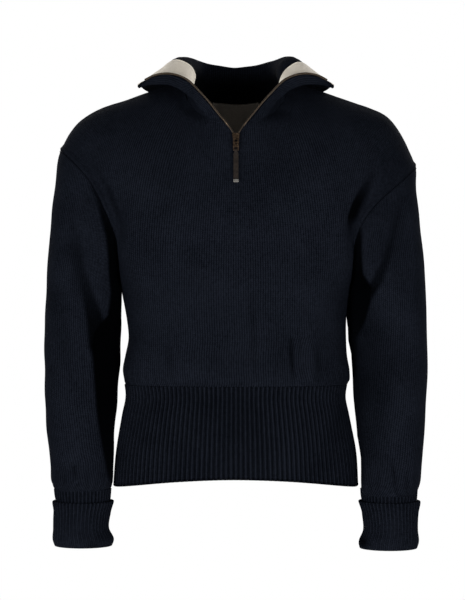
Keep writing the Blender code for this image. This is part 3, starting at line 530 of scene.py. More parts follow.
def neck_order(front_row, back_row):
    """Values from the left edge of the slit round the back to the right edge, from the panels' top rows."""
    return np.vstack([front_row[NECK_LEFT][::-1], back_row[NECK_BEHIND][1:-1], front_row[NECK_RIGHT][::-1]])


def doubled(rows):
    """The rows with a middle between each two neighbours."""
    fine = np.empty((2 * len(rows) - 1, rows.shape[1]))
    fine[::2] = rows
    fine[1::2] = (rows[:-1] + rows[1:]) / 2
    return fine


def collar_grid(base):
    """Outer points of the collar: rows up from the neckline, columns round the neck."""
    keys = [line[0] for line in COLLAR_LINES]
    table = MM * np.array([line[1:] for line in COLLAR_LINES])
    keys.append(2 * keys[-1] - keys[-2])
    table = np.concatenate([table, table[-2:-1] * np.array([-1, 1, 1])])
    half = curve_through(keys, table, np.arange(COLLAR_HALF + 1)).reshape(COLLAR_HALF + 1, -1, 3)
    left = half * np.array([LEFT, 1, 1])
    right = half[-2::-1]
    controls = np.concatenate([left, right])
    lines = [smooth_line(np.vstack([start, line]), COLLAR_ROWS) for start, line in zip(base, controls)]
    return np.array(lines).transpose(1, 0, 2)


neck_points = neck_order(front[-1], back[-1])
collar = collar_grid(doubled(neck_points))
collar_out = -grid_normals(collar, False)


# Seams: each has one step from the outer to the inner face for both of its pieces, and a shift apart

front_step = -KNIT * front_out
back_step = -KNIT * back_out
front_shift = np.zeros_like(front)
back_shift = np.zeros_like(back)

sides = [(slice(0, LOWER + 1), column) for column in (0, -1)]
shoulders = [(-1, slice(0, SHOULDER_COLUMNS + 1)), (-1, slice(NECK_END, COLUMNS + 1))]
for place in sides + shoulders:
    steps = mitre(front_out[place], back_out[place], 0.0)
    shift = parting(front[place], steps, (0, FRONT, 0))
    front_step[place] = steps
    back_step[place] = steps
    front_shift[place] += shift
    back_shift[place] -= shift

sleeves = {}
sleeve_steps = {}
for hand in (LEFT, RIGHT):
    column = EDGE[hand]
    rings = sleeve_rings(hand)
    sleeve_out = sleeve_normals(rings, hand)
    steps = -KNIT * sleeve_out
    body_out = np.concatenate([front_out[LOWER:, column], back_out[LOWER:, column][-2:0:-1]])
    body_out[0] = unit(front_out[LOWER, column] + back_out[LOWER, column])
    body_out[UPPER_ROWS] = unit(front_out[-1, column] + back_out[-1, column])
    loop = rings[0]
    steps[0] = mitre(body_out, sleeve_out[0], SEAM_LEAN * unit(loop - loop.mean(axis=0)))
    ring = np.vstack([loop[-1], loop, loop[0]])
    around = np.vstack([steps[0][-1], steps[0], steps[0][0]])
    shift = parting(ring, around, (hand, 0, -SEAM_FALL))[1:-1]
    back_order = [0] + list(range(2 * UPPER_ROWS - 1, UPPER_ROWS - 1, -1))
    front_step[LOWER:, column] = steps[0][:UPPER_ROWS + 1]
    back_step[LOWER:, column] = steps[0][back_order]
    front_shift[LOWER:, column] -= shift[:UPPER_ROWS + 1]
    back_shift[LOWER:, column] -= shift[back_order]
    rings[0] += shift
    sleeves[hand] = rings
    sleeve_steps[hand] = steps

last_front = NECK_FRONT_COLUMNS + 1
last_back = len(neck_points) - last_front
body_out = neck_order(front_out[-1], back_out[-1])
for place, column in ((last_front - 1, SHOULDER_COLUMNS), (last_back, NECK_END)):
    body_out[place] = unit(front_out[-1, column] + back_out[-1, column])
neck_steps = mitre(body_out, collar_out[0, ::2], 0.0)
neck_shift = parting(neck_points, neck_steps, (0, 0, 1))
left_part = slice(0, last_front)
right_part = slice(last_back, None)
behind_part = slice(last_front - 1, last_back + 1)
front_step[-1, NECK_LEFT] = neck_steps[left_part][::-1]
front_step[-1, NECK_RIGHT] = neck_steps[right_part][::-1]
back_step[-1, NECK_BEHIND] = neck_steps[behind_part]
front_shift[-1, NECK_LEFT] -= neck_shift[left_part][::-1]
front_shift[-1, NECK_RIGHT] -= neck_shift[right_part][::-1]
back_shift[-1, NECK_BEHIND] -= neck_shift[behind_part]
collar_step = -KNIT * collar_out
collar_step[0] = doubled(neck_steps)
collar[0] += doubled(neck_shift)


def level(steps):
    """Steps turned level, at the wall's thickness."""
    flat = steps * np.array([1, 1, 0])
    return KNIT * unit(flat)


front_step[0] = level(front_step[0])
back_step[0] = level(back_step[0])
front_shift[0, :, 2] += GAP / 2
back_shift[0, :, 2] += GAP / 2


# Refined cloth and its ribs: steps that a row and a column become, a stitch's width and height,
# steps to a rib, rows, the ribs' height and shape, how narrow the painted shade in their grooves is, and
# the inner face's ribs
BODY_FINE = (8, 8)
SLEEVE_FINE = (16, 5)
COLLAR_FINE = (5, 5)
WALE = 0.0036
COURSE = 0.0027
RIB_STEPS = 8
CUFF_RIB_STEPS = 6
RIB_ROWS = 30
CUFF_LEVELS = 44
RIB_HEIGHT = 0.0026
RIB_ROUNDNESS = 0.30
GROOVE_SHADE_SHARPNESS = 1.3
INNER_RIB = 0.001

# Turned back part of the cuffs: where it starts and how short it is worn, how much its ribs are
# raised, over what height they flatten and to what share, how dark the painted shade in its grooves is, and
# the painted shadow
# at its edge: place (distance from the middle, height), size and strength
CUFF_TURN = -0.606
CUFF_SHORTER = {LEFT: 0.90, RIGHT: 0.95}
CUFF_RELIEF = 1.3
CUFF_FADE = 0.095
CUFF_LEAST = 0.35
CUFF_GROOVE_SHADE = 0.95
CUFF_SHADOWS = {LEFT: ((-0.2100, -0.6720), 0.010, 0.5), RIGHT: ((0.1870, -0.6660), 0.009, 0.9)}

# Welts, seams and gathers; a seam's shade is the painted shade in its groove: how dark and how wide it is
WELT_HEIGHT = 0.0020
WELT_PLACE = 0.0045
WELT_WIDTH = 0.0032
WELT_ROWS = 1.5
SEAM_SINK = 0.0012
SEAM_WIDTH = 0.0024
BODY_SINK_SHARE = 0.5
BODY_SEAM_SHADE = (0.3, 0.0016)
SLEEVE_SEAM_SHADE = (0.35, 0.0022)
SLEEVE_SINK = 0.0010
SLEEVE_SINK_WIDTH = 0.0060
SEAM_HOLD = 0.002
NECK_OVERLAP = 2.5 * GAP
GATHER = 0.0008
GATHER_PITCH = 0.0150
GATHER_REACH = 0.020
GATHER_START = 0.004

# Creases: the depth that gets the full painted shade, that painted shade, and how they begin and thin out;
# then how fast creases and painted shade fade where the cloth turns away, the painted shade of the inner
# face, and how round an edge is
CREASE_DEPTH = 0.0050
CREASE_SHADE = 0.55
CREASE_START = 0.04
CREASE_TAPER = 0.7
FACING_SLOPE = 2.5
SHADE_SLOPE = 3
INSIDE_SHADE = 0.80
EDGE_ROUNDING = 0.9

# Slow swells of the cloth: the waves in their sum, how these spread in length, how far from an edge
# they are full, and each cloth's seed, height and length
SWELL_WAVES = 9
SWELL_SPREAD = (0.7, 1.9)
SWELL_EDGE = 0.02
CUFF_SWELL_EDGE = 0.01
SWELLS = {
    "front": (11, 0.0006, 0.06),
    "back": (12, 0.0006, 0.06),
    "left": (21, 0.0007, 0.06),
    "right": (22, 0.0007, 0.06),
    "collar": (31, 0.0005, 0.05),
    "hem_front": (41, 0.0008, 0.07),
    "hem_back": (42, 0.0008, 0.07),
    "cuff_left": (51, 0.0008, 0.05),
    "cuff_right": (52, 0.0008, 0.05),
}

# How unevenly the gathers over the ribs are spaced: seed, share of a pitch and length
BODY_DRIFT = (5, 0.5, 0.12)
SLEEVE_DRIFT = (6, 0.5, 0.12)

# How wide each cotton facing shows, from the neck seam to the collar's edge, as a share of its
# full width
FACING_SHARES = {
    "left": (1.22, 1.04, 0.92, 0.90, 0.94, 0.98, 1.00, 1.00),
    "right": (0.92, 0.76, 0.66, 0.72, 0.88, 0.96, 1.00, 1.00),
}

# How far the inner side of each sleeve leans toward the body, away where negative (height and
# shift), and where on the sleeve that begins
LEANS = {
    LEFT: ((-265, 0), (-285, 2.8), (-310, 2.4), (-335, 0)),
    RIGHT: (
        (-270, 0), (-296, 3.2), (-305, 4.8), (-314, 6.2), (-332, 7),
        (-341, 6), (-350, 4.6), (-368, 3.8), (-377, 2), (-388, 0),
        (-510, 0), (-545, -6.5), (-600, -6.5),
    ),
}
LEAN_FROM = 0.190
LEAN_REACH = 0.012

# How far each sleeve's end hangs over its cuff, how far up that is felt, and how it puffs out there
OVERLAP = {LEFT: 0.0015, RIGHT: 0.0085}
OVERLAP_REACH = 0.030
PUFF = 0.35
PUFF_WAY = (0.2, 1.0, 0.0)

# The collar's thicker free edge
SELVEDGE_HEIGHT = 0.0007
SELVEDGE_WIDTH = 0.0045

# Creases: side, line of places (distance from the middle, height), half width and rise, negative
# where the cloth sinks
CREASES = {
    "front": (
        (FRONT, ((81.5, -365), (82, -395), (84.8, -430)), 2.6, -5),
        (FRONT, ((89, -360), (90.5, -395), (93, -428)), 5, 2.6),
        (FRONT, ((22.5, -300), (25, -340), (26.2, -380), (31, -428)), 4.5, -2.2),
        (FRONT, ((60, -385), (58, -428)), 4, -1.4),
        (FRONT, ((-7.5, -385), (-8.5, -428)), 3, -1.4),
        (FRONT, ((-76, -365), (-64, -428)), 6, 1.8),
        (FRONT, ((-68, -385), (-70, -428)), 3.5, -1.4),
        (FRONT, ((-101, -378), (-96, -430)), 5, -1.8),
        (FRONT, ((123, -378), (120, -430)), 5, -1.8),
        (FRONT, ((-76, -20), (-58, -34), (-38, -44)), 8.5, -4.2),
        (FRONT, ((42, -40), (62, -30), (84, -28)), 8.5, -4.2),
        (FRONT, ((-156, -175), (-154, -250)), 11, 2),
        (FRONT, ((160, -160), (154, -250)), 12, 2.2),
    ),
    "back": (
        (BACK, ((-42, -350), (-47, -430)), 3.5, -3.6),
        (BACK, ((60, -330), (66, -430)), 5, -2.6),
        (BACK, ((73, -350), (78, -428)), 6, 2.2),
        (BACK, ((-95, -375), (-99, -430)), 5, -2),
        (BACK, ((8, -385), (6, -430)), 3.5, -1.4),
        (BACK, ((121, -378), (119, -430)), 5, -1.8),
        (BACK, ((-118, -85), (-70, -112), (10, -120)), 15, -1.8),
        (BACK, ((-30, -200), (60, -220)), 20, -1.8),
    ),
    "left": (
        (FRONT, ((-242, -200), (-233, -260), (-220, -310)), 12, -3.5),
        (FRONT, ((-214, -200), (-205, -270), (-198, -310)), 10, 2.6),
        (FRONT, ((-265, -300), (-250, -380), (-236, -440)), 12, -2),
        (FRONT, ((-239, -548), (-235, -572)), 2, -3),
        (FRONT, ((-217, -555), (-219, -585)), 4, -1.6),
        (FRONT, ((-256, -560), (-253, -585)), 4, -1.6),
        (BACK, ((-250, -250), (-240, -330), (-228, -400)), 12, -3.2),
        (BACK, ((-235, -545), (-230, -580)), 2.6, -2.6),
        (BACK, ((-256, -555), (-250, -585)), 4.5, -1.8),
    ),
    "right": (
        (FRONT, ((249, -160), (236, -209), (222, -248)), 12, -3.5),
        (FRONT, ((212, -200), (202, -260)), 10, 2.6),
        (FRONT, ((238, -366), (211, -437), (202, -474)), 14, -2.2),
        (FRONT, ((229, -543), (236, -585)), 2.2, -3.2),
        (FRONT, ((207, -555), (211, -585)), 4, -1.6),
        (FRONT, ((254, -560), (253, -585)), 4, -1.4),
        (BACK, ((248, -230), (240, -320), (224, -400)), 12, -3),
        (BACK, ((230, -540), (226, -580)), 2.6, -2.6),
        (BACK, ((252, -550), (250, -585)), 4.5, -1.8),
    ),
}

# Deep hollows that lie in shadow: side, softness of their edges, depth, then down their length
# the height, the left and the right bound there, and how dark they are
HOLLOWS = {
    "front": (
        (FRONT, 8, 5.5, (
            (-112, 200, 206, 0.0), (-130, 192, 202, 0.4), (-150, 180, 195, 0.75),
            (-169, 170, 186, 0.95), (-187, 164, 178, 0.95), (-197, 164, 172, 0.6),
            (-215, 165, 171, 0.0))),
        (FRONT, 7, 2.8, (
            (-105, -208, -202, 0.0), (-121, -204, -196, 0.15), (-150, -189, -180, 0.34),
            (-181, -179, -170, 0.36), (-198, -172, -164, 0.28), (-225, -170, -162, 0.0))),
    ),
    "back": (
        (BACK, 8, 4, (
            (-125, 192, 202, 0.0), (-155, 176, 190, 0.45), (-190, 166, 178, 0.55),
            (-225, 165, 171, 0.0))),
        (BACK, 8, 3.5, (
            (-115, -204, -196, 0.0), (-150, -188, -176, 0.4), (-185, -177, -166, 0.5),
            (-225, -170, -162, 0.0))),
    ),
    "left": (
        (FRONT, 7, 4, (
            (-120, -222, -216, 0.0), (-138, -214, -207, 0.5), (-160, -205, -196, 0.7),
            (-182, -199, -180, 0.85), (-211, -191, -165, 0.95), (-248, -186, -160, 1.0),
            (-293, -184, -160, 1.0), (-330, -187, -160, 1.0), (-354, -206, -160, 1.0),
            (-374, -211, -160, 1.0), (-411, -208, -160, 1.0), (-462, -204, -160, 1.0),
            (-499, -200, -160, 0.95), (-536, -193, -160, 0.9), (-565, -188, -160, 0.8),
            (-588, -185, -160, 0.4))),
        (FRONT, 9, 3.5, (
            (-160, -247, -243, 0.0), (-179, -246, -239, 0.2), (-223, -242, -232, 0.35),
            (-268, -234, -220, 0.5), (-303, -225, -207, 0.68), (-340, -218, -191, 0.88),
            (-374, -215, -186, 0.9), (-400, -210, -186, 0.0))),
        (BACK, 10, 4, (
            (-180, -186, -160, 0.0), (-230, -188, -160, 0.6), (-320, -190, -160, 0.8),
            (-400, -200, -160, 0.8), (-480, -198, -160, 0.7), (-560, -188, -160, 0.4),
            (-588, -185, -160, 0.0))),
    ),
    "right": (
        (FRONT, 7, 4, (
            (-180, 165, 182, 0.0), (-196, 165, 183, 0.7), (-219, 160, 184, 0.9), (-248, 160, 184, 0.95),
            (-270, 160, 186, 1.0), (-290, 160, 200, 1.0), (-315, 160, 196, 0.95), (-340, 160, 189, 0.9),
            (-363, 160, 181, 0.8), (-400, 160, 179, 0.55), (-455, 160, 180, 0.35),
            (-540, 160, 184, 0.25), (-588, 160, 184, 0.0))),
        (FRONT, 9, 3.5, (
            (-135, 250, 256, 0.0), (-156, 245, 253, 0.2), (-209, 230, 241, 0.45),
            (-248, 215, 228, 0.55), (-278, 200, 217, 0.7), (-296, 186, 206, 0.9),
            (-318, 176, 196, 0.0))),
        (FRONT, 40, 0, (
            (-290, 130, 200, 0.0), (-350, 130, 222, 0.38), (-437, 130, 226, 0.46),
            (-540, 130, 222, 0.34), (-588, 130, 215, 0.0))),
        (BACK, 10, 4, (
            (-190, 160, 186, 0.0), (-240, 160, 188, 0.6), (-310, 160, 192, 0.8), (-390, 160, 196, 0.75),
            (-470, 160, 192, 0.6), (-560, 160, 186, 0.3), (-588, 160, 184, 0.0))),
    ),
}


# Finer grids and the relief on them

# Columns that a closed grid is continued by at each end, so that it stays smooth across its seam
WRAP = 3


def refined(grid, times, closed):
    """A grid with smooth points between its own: times is how many steps a row and a column become."""
    shape = grid.shape
    rows = np.arange((shape[0] - 1) * times[0] + 1) / times[0]
    tall = curve_through(np.arange(shape[0]), grid.reshape(shape[0], -1), rows)
    tall = tall.reshape(len(rows), shape[1], -1)
    if closed:
        tall = np.concatenate([tall[:, -WRAP:], tall, tall[:, :WRAP + 1]], axis=1)
        columns = WRAP + np.arange(shape[1] * times[1]) / times[1]
    else:
        columns = np.arange((shape[1] - 1) * times[1] + 1) / times[1]
    wide = tall.transpose(1, 0, 2)
    fine = curve_through(np.arange(wide.shape[0]), wide.reshape(wide.shape[0], -1), columns)
    return fine.reshape(len(columns), len(rows), -1).transpose(1, 0, 2)


def cornered(grid, times, corners):
    """The refined grid, with its columns allowed to turn sharply at the corners on the top row."""
    smooth = refined(grid, times, False)
    pieces = []
    for first, last in zip(corners[:-1], corners[1:]):
        piece = refined(grid[:, first:last + 1], times, False)
        pieces.append(piece if first == corners[0] else piece[:, 1:])
    sharp = np.concatenate(pieces, axis=1)
    up = np.linspace(0, 1, smooth.shape[0])
    weight = eased(clipped((up - 1) * (grid.shape[0] - 1) / 2 + 1))[:, None, None]
    return smooth * (1 - weight) + sharp * weight


def arc(grid, axis, start):
    """Length along the rows or the columns of a grid, from the line at start."""
    steps = np.linalg.norm(np.diff(grid, axis=axis), axis=2)
    run = np.cumsum(steps, axis=axis)
    zero = np.zeros_like(np.take(run, [0], axis=axis))
    run = np.concatenate([zero, run], axis=axis)
    return run - np.take(run, [start], axis=axis)


def outward(outer, inner):
    """Unit steps from the inner to the outer face."""
    return unit(outer - inner)


def crease_push(grid, out, marks):
    """How far the creases move each point of a cloth outward."""
    push = np.zeros(grid.shape[:2])
    seen = grid[..., ::2]
    for side, line, half, rise in marks:
        line = MM * np.array(line)
        run = lengths_along(line)
        near = np.full(push.shape, np.inf)
        along = np.zeros(push.shape)
        for start, end, begun in zip(line[:-1], line[1:], run[:-1]):
            way = end - start
            part = clipped((seen - start) @ way / (way @ way))
            gap = np.linalg.norm(seen - start - part[..., None] * way, axis=-1)
            along = np.where(gap < near, begun + part * np.linalg.norm(way), along)
            near = np.minimum(gap, near)
        fade = clipped(np.sin(np.pi * np.clip(along / run[-1], CREASE_START, 1) ** CREASE_TAPER)) ** 0.5
        push += MM * rise * fade * clipped(out[..., 1] * side * FACING_SLOPE) * bell(near, MM * half)
    return push


def shadowed(grid, out, marks):
    """How deep each point lies in the shadowed hollows, from 0 to 1, and how far they push it outward."""
    shade = np.zeros(grid.shape[:2])
    push = np.zeros(grid.shape[:2])
    for side, soft, depth, rows in marks:
        heights, first, last, strength = (np.array(rows) * (MM, MM, MM, 1))[::-1].T
        bounds = [np.interp(grid[..., 2], heights, line) for line in (first, last)]
        inside = clipped((grid[..., 0] - bounds[0]) / (MM * soft) + 0.5)
        inside *= clipped((bounds[1] - grid[..., 0]) / (MM * soft) + 0.5)
        mask = np.interp(grid[..., 2], heights, strength) * eased(inside)
        toward = out[..., 1] * side
        shade = np.maximum(shade, mask * clipped(toward * SHADE_SLOPE + 0.5))
        push -= MM * depth * mask * clipped(toward * FACING_SLOPE)
    return shade, push


def uneven(grid, seed, height, length):
    """Slow, uneven swells of the given height and length."""
    dice = np.random.default_rng(seed)
    total = np.zeros(grid.shape[:2])
    for _ in range(SWELL_WAVES):
        way = unit(dice.normal(size=3)) * 2 * np.pi / (length * dice.uniform(*SWELL_SPREAD))
        total += np.sin(grid @ way + dice.uniform(0, 2 * np.pi))
    return total * height / np.sqrt(SWELL_WAVES)


def sewn(distance, share=1.0):
    """The cloth's sink into a seam, by distance from it."""
    return -share * SEAM_SINK * bell(distance, SEAM_WIDTH)


def welt(distance):
    """The thick edge that stands up beside a seam, by distance from it."""
    return WELT_HEIGHT * bell(distance - WELT_PLACE, WELT_WIDTH)


def lifted(outer, inner, push):
    """Both faces of a cloth moved outward by the push, and the painted shade of its creases, from 0 to 1.
    """
    step = outward(outer, inner) * push[..., None]
    return outer + step, inner + step, CREASE_SHADE * clipped(-push / CREASE_DEPTH)


def worn(outer, inner, word, drift, around, above, inward):
    """Both faces of a panel or sleeve with creases, hollows, swells, and gathers above its rib.

    Around is the length across it, above the length up from the rib, inward the distance from its
    sewn edge. The result is both faces, the painted shade of each point from its creases and shadowed
    hollows, and how far its hollow pushes it.
    """
    out = outward(outer, inner)
    fade = np.exp(-above / GATHER_REACH) * (1 - np.exp(-above / GATHER_START))
    wave = np.sin(2 * np.pi * (around / GATHER_PITCH + uneven(outer, *drift)))
    shade, sink = shadowed(outer, out, HOLLOWS[word])
    push = crease_push(outer, out, CREASES[word]) + GATHER * wave * fade
    push += uneven(outer, *SWELLS[word]) * clipped(inward / SWELL_EDGE)
    outer, inner, hollow = lifted(outer, inner, push)
    return outer, inner, np.maximum(hollow, shade), sink


def placed(name, data):
    """A new object in the scene."""
    thing = bpy.data.objects.new(name, data)
    bpy.context.scene.collection.objects.link(thing)
    return thing


def cloth_mesh(name, outer, inner, closed, free, values, inside_shade=INSIDE_SHADE):
    """A thin cloth: outer and inner face, joined round the edges, which are rounded where they are free.

    The values hold the knitting's own coordinates in metres, under "knit", and numbers for each
    point that the materials read. The inner face gets at least the given painted shade, one number or one a
    row.
    """
    rows, columns = outer.shape[:2]
    total = rows * columns
    points = [outer.reshape(-1, 3), inner.reshape(-1, 3)]
    grid = np.arange(total).reshape(rows, columns)
    after = np.roll(grid, -1, axis=1) if closed else grid[:, 1:]
    first = grid if closed else grid[:, :-1]
    faces = [np.stack([first[:-1], after[:-1], after[1:], first[1:]], axis=-1).reshape(-1, 4)]
    faces.append(faces[0][:, ::-1] + total)
    sources = [np.arange(total), np.arange(total)]
    count = 2 * total
    sides = {"bottom": (grid[0, ::-1], grid[1, ::-1]), "top": (grid[-1], grid[-2])}
    if not closed:
        sides["start"] = (grid[:, 0], grid[:, 1])
        sides["end"] = (grid[::-1, -1], grid[::-1, -2])
    for side, (line, inner_line) in sides.items():
        if side in free:
            near = points[0][line]
            far = points[1][line]
            away = unit(near + far - points[0][inner_line] - points[1][inner_line])
            reach = np.linalg.norm(near - far, axis=1, keepdims=True) / 2
            points.append((near + far) / 2 + away * reach * EDGE_ROUNDING)
            sources.append(line)
            middle = count + np.arange(len(line))
            count += len(line)
            lines = (line, middle, line + total)
        else:
            lines = (line, line + total)
        begin = np.arange(len(line) if closed else len(line) - 1)
        end = (begin + 1) % len(line)
        for one, two in zip(lines[:-1], lines[1:]):
            faces.append(np.stack([one[begin], two[begin], two[end], one[end]], axis=-1))
    faces = np.concatenate(faces)
    points = np.concatenate(points)
    source = np.concatenate(sources)
    corner = points[faces[0]]
    if np.dot(np.cross(corner[1] - corner[0], corner[2] - corner[0]), outer[0, 0] - inner[0, 0]) < 0:
        faces = faces[:, ::-1]
    mesh = bpy.data.meshes.new(name)
    mesh.vertices.add(len(points))
    mesh.vertices.foreach_set("co", points.astype(np.float32).ravel())
    mesh.loops.add(faces.size)
    mesh.loops.foreach_set("vertex_index", faces.astype(np.int32).ravel())
    mesh.polygons.add(len(faces))
    mesh.polygons.foreach_set("loop_start", np.arange(0, faces.size, 4, dtype=np.int32))
    mesh.update(calc_edges=True)
    mesh.validate()
    mesh.shade_smooth()
    for key, value in values.items():
        value = value.reshape(total, -1)[source]
        # The inner face gets at least its painted shade, where little light reaches
        if key == "hollow":
            inside = value[total:2 * total].reshape(rows, -1)
            value[total:2 * total] = np.maximum(inside, inside_shade).reshape(total, 1)
        if key == "knit":
            index = np.zeros(len(mesh.loops), dtype=np.int32)
            mesh.loops.foreach_get("vertex_index", index)
            layer = mesh.uv_layers.new(name=key)
            layer.data.foreach_set("uv", value[index].astype(np.float32).ravel())
        else:
            layer = mesh.attributes.new(key, "FLOAT", "POINT")
            layer.data.foreach_set("value", value.astype(np.float32).ravel())
    return placed(name, mesh)


# Materials

def nodes_of(name):
    """A new material's node tree and its surface shader."""
    finish = bpy.data.materials.new(name)
    finish.use_nodes = True
    return finish, finish.node_tree, finish.node_tree.nodes["Principled BSDF"]


def calc(tree, operation, first, second=None, third=None):
    """One math node; each value is a number or another node's output."""
    node = tree.nodes.new("ShaderNodeMath")
    node.operation = operation
    for socket, value in zip(node.inputs, (first, second, third)):
        if isinstance(value, (int, float)):
            socket.default_value = value
        elif value is not None:
            tree.links.new(value, socket)
    return node.outputs[0]


def noise(tree, vector, scale, detail, roughness):
    """A noise texture's value."""
    node = tree.nodes.new("ShaderNodeTexNoise")
    node.inputs["Scale"].default_value = scale
    node.inputs["Detail"].default_value = detail
    node.inputs["Roughness"].default_value = roughness
    tree.links.new(vector, node.inputs["Vector"])
    return node.outputs["Fac"]


def ramp(tree, value, stops):
    """A colour ramp through the stops: place and colour."""
    node = tree.nodes.new("ShaderNodeValToRGB")
    band = node.color_ramp
    while len(band.elements) < len(stops):
        band.elements.new(0.5)
    for element, (place, colour) in zip(band.elements, stops):
        element.position = place
        element.color = (*colour, 1.0)
    tree.links.new(value, node.inputs["Fac"])
    return node.outputs["Color"]


def mixed(tree, factor, first, second):
    """Two colours mixed by a factor; each is a colour or another node's output."""
    node = tree.nodes.new("ShaderNodeMix")
    node.data_type = "RGBA"
    tree.links.new(factor, node.inputs["Factor"])
    sockets = [socket for socket in node.inputs if socket.type == "RGBA"]
    for socket, value in zip(sockets, (first, second)):
        if isinstance(value, tuple):
            socket.default_value = (*value, 1.0)
        else:
            tree.links.new(value, socket)
    return [socket for socket in node.outputs if socket.type == "RGBA"][0]


def bumped(tree, height, distance, strength, shader):
    """The height as bump on a shader."""
    node = tree.nodes.new("ShaderNodeBump")
    node.inputs["Distance"].default_value = distance
    node.inputs["Strength"].default_value = strength
    tree.links.new(height, node.inputs["Height"])
    tree.links.new(node.outputs["Normal"], shader.inputs["Normal"])


def coordinates(tree, kind):
    """Texture coordinates of one kind."""
    return tree.nodes.new("ShaderNodeTexCoord").outputs[kind]


def own_value(tree, name):
    """A number that the mesh holds for each point."""
    node = tree.nodes.new("ShaderNodeAttribute")
    node.attribute_name = name
    return node.outputs["Fac"]


def knit_place(tree):
    """The two lengths of the knitting's own coordinates."""
    split = tree.nodes.new("ShaderNodeSeparateXYZ")
    tree.links.new(coordinates(tree, "UV"), split.inputs[0])
    return split.outputs[0], split.outputs[1]


def stitches(tree):
    """Height of plain knitting: columns of stitches, each of two legs that lean to the middle."""
    u, v = knit_place(tree)
    across = calc(tree, "DIVIDE", u, WALE)
    along = calc(tree, "DIVIDE", v, COURSE)
    aside = calc(tree, "ABSOLUTE", calc(tree, "SUBTRACT", calc(tree, "FRACT", across), 0.5))
    column = calc(tree, "COSINE", calc(tree, "MULTIPLY", aside, np.pi))
    parting_line = calc(tree, "SUBTRACT", 1.0, calc(tree, "MULTIPLY", aside, 9.0))
    leg = calc(tree, "MULTIPLY_ADD", calc(tree, "MAXIMUM", parting_line, 0.0), -0.35, column)
    lean = calc(tree, "SUBTRACT", along, calc(tree, "MULTIPLY", aside, 1.3))
    turn = calc(tree, "SINE", calc(tree, "MULTIPLY", lean, 2 * np.pi))
    strand = calc(tree, "MULTIPLY_ADD", turn, 0.28, 0.72)
    return calc(tree, "MULTIPLY", leg, strand)


def wool(name, dark, light, depth):
    """Navy wool: knitted stitches, a little fluff, small random changes of tone, painted shade between the
    stitches, and painted shade read from the mesh in creases, seams, rib grooves, shadowed hollows and on
    inner faces.
    """
    finish, tree, shader = nodes_of(name)
    place = coordinates(tree, "Object")
    height = stitches(tree)
    fluff = noise(tree, place, 1100.0, 3.0, 0.7)
    speckle = noise(tree, place, 260.0, 2.0, 0.6)
    patchy = noise(tree, place, 16.0, 4.0, 0.6)
    slow = calc(tree, "MULTIPLY_ADD", speckle, 0.45, calc(tree, "MULTIPLY", patchy, 0.30))
    # The stitch height paints shade between the stitches; fluff, speckle and patches are the wool's own
    # random tone
    shade = calc(tree, "MULTIPLY_ADD", height, 0.55, calc(tree, "MULTIPLY_ADD", fluff, 0.25, slow))
    colour = ramp(tree, shade, ((0.48, dark), (1.0, light)))
    # Painted shade: the mesh's value for each point mixes the wool toward a near black shade colour
    shaded = mixed(tree, own_value(tree, "hollow"), colour, NAVY_PAINTED_SHADE)
    tree.links.new(shaded, shader.inputs["Base Color"])
    shader.inputs["Roughness"].default_value = 0.92
    shader.inputs["Specular IOR Level"].default_value = 0.008
    shader.inputs["Sheen Weight"].default_value = 0.003
    shader.inputs["Sheen Roughness"].default_value = 0.6
    shader.inputs["Sheen Tint"].default_value = (0.35, 0.45, 0.75, 1.0)
    total = calc(tree, "MULTIPLY_ADD", fluff, 0.35, height)
    bumped(tree, total, depth, 0.9, shader)
    return finish


def woven(name, dark, light, thread, pitch, stitch_place, stitch_length):
    """A fine plain weave with one line of stitches along its edges."""
    finish, tree, shader = nodes_of(name)
    u, v = knit_place(tree)
    place = coordinates(tree, "Object")
    warp = calc(tree, "SINE", calc(tree, "MULTIPLY", u, 2 * np.pi / pitch))
    weft = calc(tree, "SINE", calc(tree, "MULTIPLY", v, 2 * np.pi / pitch))
    weave = calc(tree, "MULTIPLY_ADD", calc(tree, "MULTIPLY", warp, weft), 0.5, 0.5)
    slub = noise(tree, place, 420.0, 3.0, 0.6)
    soil = noise(tree, place, 45.0, 3.0, 0.6)
    uneven_tone = calc(tree, "MULTIPLY_ADD", slub, 0.4, calc(tree, "MULTIPLY", soil, 0.4))
    tone = calc(tree, "MULTIPLY_ADD", weave, 0.35, uneven_tone)
    cloth = ramp(tree, tone, ((0.35, dark), (0.85, light)))
    edge = own_value(tree, "edge")
    line = calc(tree, "COMPARE", edge, stitch_place, 0.00045)
    run = calc(tree, "FRACT", calc(tree, "DIVIDE", calc(tree, "ADD", u, v), stitch_length))
    dash = calc(tree, "MULTIPLY", line, calc(tree, "LESS_THAN", run, 0.72))
    pulled = calc(tree, "COMPARE", edge, stitch_place, 0.0011)
    tree.links.new(mixed(tree, dash, cloth, thread), shader.inputs["Base Color"])
    shader.inputs["Roughness"].default_value = 0.85
    shader.inputs["Specular IOR Level"].default_value = 0.15
    height = calc(tree, "MULTIPLY_ADD", slub, 0.4, weave)
    height = calc(tree, "MULTIPLY_ADD", pulled, -1.6, height)
    bumped(tree, calc(tree, "MULTIPLY_ADD", dash, 2.6, height), 0.00016, 0.8, shader)
    return finish


def metal(name, dark, light, worn, roughness):
    """A metal with patina, lighter worn patches and fine scratches."""
    finish, tree, shader = nodes_of(name)
    place = coordinates(tree, "Object")
    patina = noise(tree, place, 380.0, 5.0, 0.65)
    wear = noise(tree, place, 900.0, 3.0, 0.6)
    colour = ramp(tree, patina, ((0.38, dark), (0.58, light), (0.74, worn)))
    tree.links.new(colour, shader.inputs["Base Color"])
    shader.inputs["Metallic"].default_value = 1.0
    tree.links.new(calc(tree, "MULTIPLY_ADD", wear, 0.30, roughness - 0.15), shader.inputs["Roughness"])
    bumped(tree, wear, 0.00008, 0.5, shader)
    return finish


